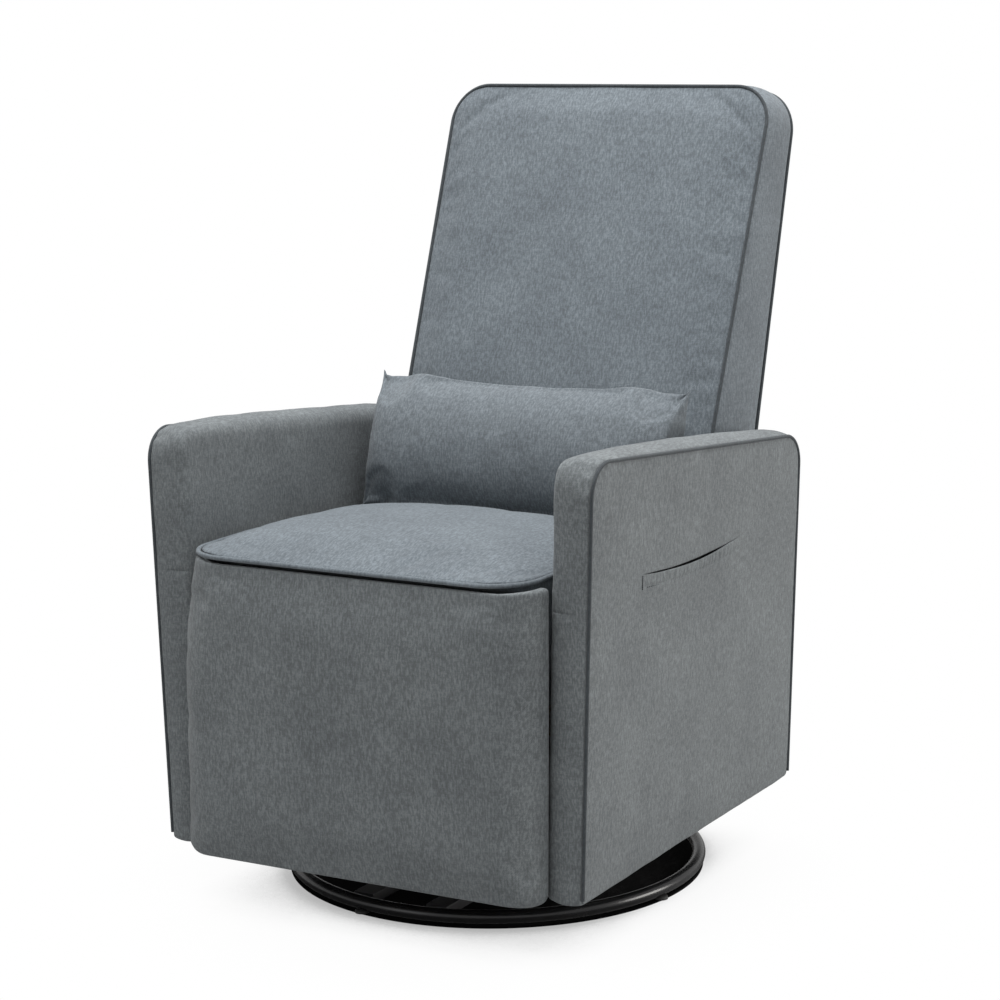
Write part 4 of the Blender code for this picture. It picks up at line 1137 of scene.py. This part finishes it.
# Name, place, what it points at, size, colour and power.
LAMPS = (
    ("overhead", (0.0, -0.25, 3.2), (0, 0, 0.4), (2.6, 2.6), (0.98, 0.99, 1.0), 129.0),
    ("right_fill", (3.3, 1.4, 0.75), (0, 0, 0.55), (1.8, 1.3), (1.0, 0.975, 0.945), 58.0),
    ("front_fill", (-1.2, -3.4, 0.8), (0, 0, 0.4), (1.6, 1.2), (0.98, 0.99, 1.0), 4.0),
)


def build_studio():
    mesh = bpy.data.meshes.new("studio_floor")
    corners = [(x * FLOOR_SIZE, y * FLOOR_SIZE, 0) for x, y in ((-1, -1), (1, -1), (1, 1), (-1, 1))]
    mesh.from_pydata(corners, [], [(0, 1, 2, 3)])
    floor = add_object("studio_floor", mesh)
    look = Look("studio_floor_white_painted_shadow", 0.9, specular=0.0)
    # The floor glows for the camera only: its emission is white times a painted shadow, and other rays
    # see a plain grey floor.
    seen = look.node("ShaderNodeLightPath").outputs["Is Camera Ray"]
    near = look.node("ShaderNodeAmbientOcclusion", {"Distance": 0.35}, samples=24).outputs["AO"]

    def painted_shade_tones(*stops):
        return look.ramp(near, [(at, (level, level, level)) for at, level in stops])

    _, x, y, _ = look.place()
    from_middle = {0: x, 1: look.math("SUBTRACT", y, SWIVEL_Y)}
    from_middle = look.node("ShaderNodeCombineXYZ", from_middle).outputs[0]
    radius = look.node("ShaderNodeVectorMath", {0: from_middle}, operation="LENGTH").outputs[1]
    outside = look.math("GREATER_THAN", radius, RING_OUTER - 0.003)
    # Painted shadow: near black inside the ring, and a soft shade from ambient occlusion beside the
    # chair outside it.
    under = painted_shade_tones((0.25, 0.001), (0.42, 0.012), (0.55, 0.10), (0.75, 0.45))
    beside = painted_shade_tones((0.20, 0.45), (0.40, 0.90), (0.60, 0.985), (0.80, 1.0))
    painted_contact_shadow = look.mix(outside, under, beside)
    look.tree.links.new(painted_contact_shadow, look.shader.inputs["Emission Color"])
    look.tree.links.new(seen, look.shader.inputs["Emission Strength"])
    tone = look.mix(seen, (FLOOR_GREY, FLOOR_GREY, FLOOR_GREY, 1.0), (0.0, 0.0, 0.0, 1.0))
    mesh.materials.append(look.set(tone))

    world = bpy.data.worlds.new("studio")
    world.use_nodes = True
    tree = world.node_tree
    background = tree.nodes["Background"].inputs
    background["Color"].default_value = (1.0, 1.0, 1.0, 1.0)
    path = tree.nodes.new("ShaderNodeLightPath")
    strength = tree.nodes.new("ShaderNodeMix")
    strength.inputs[2].default_value = WORLD_LIGHT
    strength.inputs[3].default_value = 1.0
    tree.links.new(path.outputs["Is Camera Ray"], strength.inputs[0])
    tree.links.new(strength.outputs[0], background["Strength"])
    bpy.context.scene.world = world

    for name, place, target, size, colour, power in LAMPS:
        light = bpy.data.lights.new(name, "AREA")
        light.energy = power
        light.color = colour
        light.shape = "RECTANGLE"
        light.size, light.size_y = size
        lamp = add_object(name, light)
        lamp.location = place
        lamp.rotation_euler = (Vector(target) - Vector(place)).to_track_quat("-Z", "Y").to_euler()


def build_camera():
    azimuth, pitch, roll = math.radians(29.27), math.radians(10.58), math.radians(-0.746)
    distance, target = 3.578, Vector((0.009, 0.005 + SWIVEL_Y, 0.502))
    cosine, sine = math.cos(azimuth), math.sin(azimuth)
    back = Vector((sine * math.cos(pitch), -cosine * math.cos(pitch), math.sin(pitch)))
    right = Vector((cosine, sine, 0.0))
    up = back.cross(right)
    turned_right = right * math.cos(roll) + up * math.sin(roll)
    turned_up = up * math.cos(roll) - right * math.sin(roll)
    data = bpy.data.cameras.new("camera")
    data.lens = 95.97
    data.sensor_width = 36.0
    camera = add_object("camera", data)
    matrix = Matrix((turned_right, turned_up, back)).transposed().to_4x4()
    matrix.translation = target + back * distance
    camera.matrix_world = matrix
    bpy.context.scene.camera = camera


build_camera()
for side_name, side_sign in (("left", 1), ("right", -1)):
    build_arm_cover(side_name, side_sign)
    arm_welt(side_name, side_sign)
build_left_panel()
build_pocket_lining()
build_right_panel()
build_release()
build_seat()
build_footrest()
build_back()
build_apron()
build_rear_flap()
build_pillow()
build_ring()
dress_mechanism()
build_studio()
bpy.context.scene.view_settings.view_transform = "Standard"
